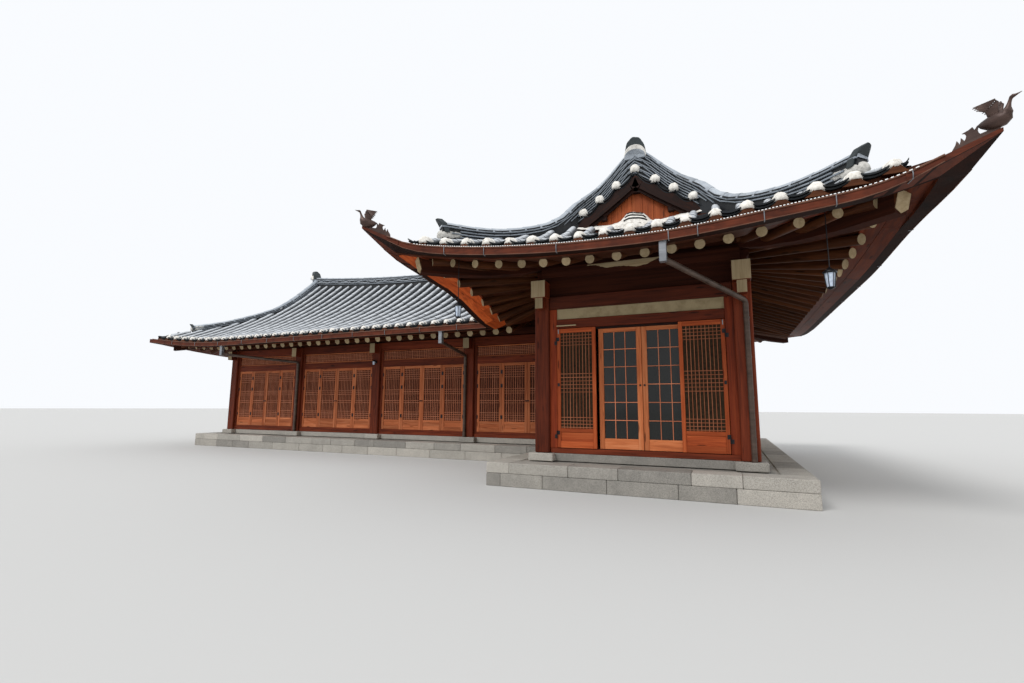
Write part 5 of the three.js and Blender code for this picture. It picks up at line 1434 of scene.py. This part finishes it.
FRONT_LEFT, FRONT_RIGHT = (-EAVE_X, EAVE_FRONT), (EAVE_X, EAVE_FRONT)
REAR_RIGHT, REAR_LEFT = (EAVE_X, REAR_EAVE), (LEFT_EAVE, REAR_EAVE)
WING_LEFT, INNER_CORNER = (LEFT_EAVE, WING_EAVE), (-EAVE_X, WING_EAVE)
gutter_channel("hall_front_gutter", FRONT_LEFT, FRONT_RIGHT, (0, -1), 1, 1)
gutter_channel("hall_right_gutter", FRONT_RIGHT, REAR_RIGHT, (1, 0), 1, 1)
gutter_channel("hall_left_gutter", INNER_CORNER, FRONT_LEFT, (-1, 0), -1, 1)
gutter_channel("wing_front_gutter", WING_LEFT, INNER_CORNER, (0, -1), 1, -1)
gutter_channel("rear_gutter", REAR_RIGHT, REAR_LEFT, (0, 1), 1, 1)
gutter_channel("wing_end_gutter", REAR_LEFT, WING_LEFT, (-1, 0), 1, 1)


# Gutter trim: rolled lip, lower edge, seam plates and straps, and the row of small white lights along the front
def gutter_trim(name, run, out, first, last, straps, seams, lights=None, inset=0.0):
    bits = Bits()
    ox, oy = out

    def edge(c, a, b):
        return gutter_edge(*((run, c) if ox else (c, run)), ox, oy, a - inset, b)

    count = max(8, round(abs(last - first) / 0.16))
    for a, b, radius, sides in ((0.143, -0.046, 0.011, 6), (0.139, -0.146, 0.006, 5)):
        tube(bits, [edge(between(first, last, i, count), a, b) for i in range(count + 1)], radius, sides, 0.5)
    if lights:
        c = lights[0]
        while c < lights[1]:
            beam(bits, edge(c, 0.15, -0.033), edge(c + 0.018, 0.15, -0.033), 0.01, 0.009, Z, 0.0, 0.5, 1)
            c += 0.034
    for c in straps:
        hook = ((0.147, -0.03), (0.151, -0.09), (0.147, -0.149), (0.1, -0.154))
        tube(bits, [edge(c, a, b) for a, b in hook], 0.006, 5, 0.5, 2)
    for c in seams:
        beam(bits, edge(c, 0.142, -0.045), edge(c, 0.142, -0.142), 0.04, 0.005, level(*out), 0.0, 0.3, 3)
    bits.make(f"{name}_gutter_trim", [LIP, LED, STRAP, COPPER], "gutter_metal")


gutter_trim("hall_front", EAVE_FRONT, (0, -1), -3.0, 3.0, (-2.3, -1.7, -0.68, 0.7, 1.02, 1.69, 2.33, 2.84),
            (-2.9, 2.82), (-2.72, 2.86))
gutter_trim("hall_right", EAVE_X, (1, 0), -1.5, REAR_EAVE, spaced(-0.6, 1.2, 8), (0.1, 2.6, 5.1))
gutter_trim("hall_left", -EAVE_X, (-1, 0), -1.5, 1.4, (-0.9, 0.1), (-0.4, 0.7))
gutter_trim("wing_front", WING_EAVE, (0, -1), LEFT_EAVE, -3.3, spaced(-13.5, 0.95, 11), (-11.5, -8.6, -5.7))
gutter_trim("rear", REAR_EAVE, (0, 1), LEFT_EAVE, EAVE_X, spaced(-13.5, 1.2, 14), (-10.5, -6.5, -2.5), inset=0.018)
gutter_trim("wing_end", LEFT_EAVE, (-1, 0), WING_EAVE, REAR_EAVE, spaced(2.3, 1.2, 6), (4.2, 6.6), inset=0.018)

# Cranes on the beaks, built with the bird looking along +X and its chest near the origin. The spine runs from
# the tail to the beak's tip: x, z and radius. The crest is the wavy plate's outline: x and z.
SPINE = [(-0.222, 0.07, 0.012), (-0.2, 0.062, 0.032), (-0.16, 0.05, 0.055), (-0.11, 0.046, 0.07),
         (-0.065, 0.052, 0.074), (-0.035, 0.07, 0.064), (-0.016, 0.098, 0.04), (-0.008, 0.13, 0.022),
         (0.002, 0.16, 0.015), (0.013, 0.19, 0.013), (0.022, 0.207, 0.016), (0.036, 0.213, 0.017),
         (0.05, 0.212, 0.011), (0.07, 0.215, 0.006), (0.094, 0.219, 0.002)]
CREST = [(-0.44, -0.12), (-0.09, -0.055), (-0.07, -0.02), (-0.15, -0.01), (-0.212, -0.012), (-0.226, 0.005),
         (-0.232, 0.03), (-0.226, 0.06), (-0.2, 0.085), (-0.232, 0.072), (-0.25, 0.046), (-0.258, 0.062),
         (-0.265, 0.082), (-0.29, 0.068), (-0.347, 0.057), (-0.325, 0.045), (-0.316, 0.02), (-0.322, -0.005),
         (-0.334, -0.022), (-0.344, 0.0), (-0.357, 0.022), (-0.362, -0.01), (-0.374, -0.042), (-0.38, -0.015),
         (-0.391, 0.008), (-0.405, -0.03), (-0.434, -0.072)]


def crane(side_name, base, degrees):
    bits = Bits()
    turn = Matrix.Rotation(math.radians(degrees), 3, "Z")

    def at(x, y, z):
        return Vector(base) + turn @ Vector((x, y, z))

    tube(bits, [at(x, 0, z) for x, z, _ in SPINE], [r for _, _, r in SPINE], 14, 0.5)
    for w in (-1, 1):
        for k in range(7):
            u = k / 6
            feather = [at(-0.075 - 0.055 * u, w * 0.03, 0.1),
                       at(-0.06 - 0.07 * u, w * (0.045 + 0.01 * u), 0.2 - 0.06 * u),
                       at(-0.068 - 0.07 * u, w * (0.05 + 0.012 * u), 0.224 - 0.07 * u),
                       at(-0.212 + 0.04 * u - 0.012 * (k % 2), w * (0.08 + 0.01 * u), 0.222 - 0.06 * u)]
            tube(bits, feather, [0.013, 0.014, 0.012, 0.003], 6, 0.5)
    size = len(CREST)
    points = [at(x, y, z) for y in (-0.007, 0.007) for x, z in CREST]
    bits.add(points, ring_faces(2, size) + [tuple(reversed(range(size))), tuple(range(size, 2 * size))], 0.5)
    bits.make(f"crane_{side_name}_bird", [BRONZE], "crane_metal", [f"crane_{side_name}"])


crane("right", (3.645, -2.145, 3.71), -43.6)
crane("left", (-3.6, -2.135, 3.84), -130.0)


# Downspouts with a hopper head, elbows and brackets
def spout(name, funnel, knee):
    bits = Bits()
    f, k = Vector(funnel), Vector(knee)
    foot = at_height(k, STONE_TOP + 0.0005)
    for half, low in ((0.042, 0.27), (0.052, 0.025)):
        post(bits, f.x, f.y, half, f.z - low, f.z, 0.004, 0.8, 1)
    start = f - Z * 0.23
    d0, d1 = (k - start).normalized(), (foot - k).normalized()
    tube(bits, [f - Z * 0.19, start, start + d0 * 0.05, k - d0 * 0.06, k - d0 * 0.02 + d1 * 0.01, k + d1 * 0.05, foot],
         0.037, 14, 0.4)
    length = (foot - k).length
    for i in range(4):
        p = k + (foot - k) * ((0.25 + i * 0.55) / length)
        tube(bits, [p + Z * 0.012, p - Z * 0.012], 0.0415, 14, 0.2)
        block(bits, p.x - 0.012, p.x + 0.012, p.y, p.y + 0.035, p.z - 0.008, p.z + 0.008, 0.0, 0.2)
    bits.make(name, [PIPE, STRAP], "pipe_metal", [name.replace("spout", "downspout")])


spout("hall_spout", (0.625, -1.732, 3.165), (1.535, -0.16, 2.683))
spout("wing_spout_right", (-4.43, 1.468, 2.825), (-4.58, 2.84, 2.44))
spout("wing_spout_left", (-11.5, 1.468, 2.825), (-10.11, 2.84, 2.44))


# Lanterns and the lamp on the wing
def turned(bits, x, y, low, rings, sides, mat):
    """Rings about an upright axis, each a height over low and a radius."""
    tube(bits, [(x, y, low + z) for z, _ in rings], [r for _, r in rings], sides, 0.5, mat)


def lantern(side_name, x):
    bits = Bits()
    y, low = -1.42, 2.47
    tube(bits, [(x, y, low + 0.24), (x, y, under_z(x, y) + 0.01)], 0.0055, 8, 0.5)
    turned(bits, x, y, low, [(0.255, 0.008), (0.235, 0.026), (0.2, 0.074), (0.186, 0.07)], 6, 0)
    turned(bits, x, y, low, [(0.184, 0.054), (0.03, 0.036)], 6, 1)
    for k in range(6):
        a = 2 * math.pi * k / 6
        tube(bits, [(x + r * math.cos(a), y + r * math.sin(a), low + z) for r, z in ((0.058, 0.19), (0.04, 0.022))],
             0.004, 6, 0.5)
    turned(bits, x, y, low, [(0.03, 0.043), (0.018, 0.04), (0.002, 0.008)], 6, 0)
    bits.make(f"lantern_{side_name}_lamp", [DARK_METAL, LAMP_GLASS], "lamp_metal", [f"lantern_{side_name}"])


lantern("left", -2.332)
lantern("right", 2.332)
lamp = Bits()
lamp_x, lamp_y = COLUMNS[2], 2.79
tube(lamp, [(lamp_x, 2.862, 2.36), (lamp_x, 2.879, 2.36)], 0.04, 16, 0.5)
tube(lamp, [(lamp_x, 2.865, 2.36), (lamp_x, 2.82, 2.42), (lamp_x, lamp_y, 2.405)], 0.007, 8, 0.5)
turned(lamp, lamp_x, lamp_y, 0, [(2.41, 0.01), (2.385, 0.04), (2.37, 0.04)], 12, 0)
turned(lamp, lamp_x, lamp_y, 0, [(2.37, 0.034), (2.285, 0.026)], 12, 1)
lamp.make("wall_lamp_head", [DARK_METAL, LAMP_GLASS], "lamp_metal", ["wall_lamp"])


# Floor, light and camera
def stage_floor():
    mesh = bpy.data.meshes.new("stage_floor")
    mesh.from_pydata([(x, y, 0) for x, y in ((-200, -200), (200, -200), (200, 200), (-200, 200))], [], [(0, 1, 2, 3)])
    m, _, bsdf = shade("stage_floor", rough=0.9, specular=0.1)
    bsdf.inputs["Base Color"].default_value = (0.55, 0.545, 0.53, 1)
    mesh.materials.append(m)
    linked("stage_floor", mesh)


stage_floor()
world = bpy.data.worlds.new("studio")
bpy.context.scene.world = world
world.use_nodes = True
world.node_tree.nodes["Background"].inputs["Color"].default_value = (0.95, 0.97, 1.0, 1)
world.node_tree.nodes["Background"].inputs["Strength"].default_value = 1.0

# One broad sun, high at the front left
light = bpy.data.lights.new("key", "SUN")
light.energy = 1.6
light.angle = math.radians(25)
linked("key", light).rotation_euler = (math.radians(42), 0, math.radians(-28))

# The camera as solved from the photograph, in its pixels and in radians
FOCAL, PHOTO_WIDTH = 486.92, 1024
EYE = (1.2417, -7.5527, 1.1818)
HEADING, LIFT, ROLL = 0.4150, 0.1344, 0.0058
camera = bpy.data.cameras.new("camera")
camera.sensor_width = 36
camera.lens = FOCAL / PHOTO_WIDTH * camera.sensor_width
camera.clip_end = 500
eye = linked("camera", camera)
turn = (Matrix.Rotation(HEADING, 4, "Z") @ Matrix.Rotation(math.pi / 2 + LIFT, 4, "X")
        @ Matrix.Rotation(ROLL, 4, "Z"))
eye.matrix_world = Matrix.Translation(EYE) @ turn
bpy.context.scene.camera = eye
bpy.context.scene.view_settings.view_transform = "Standard"
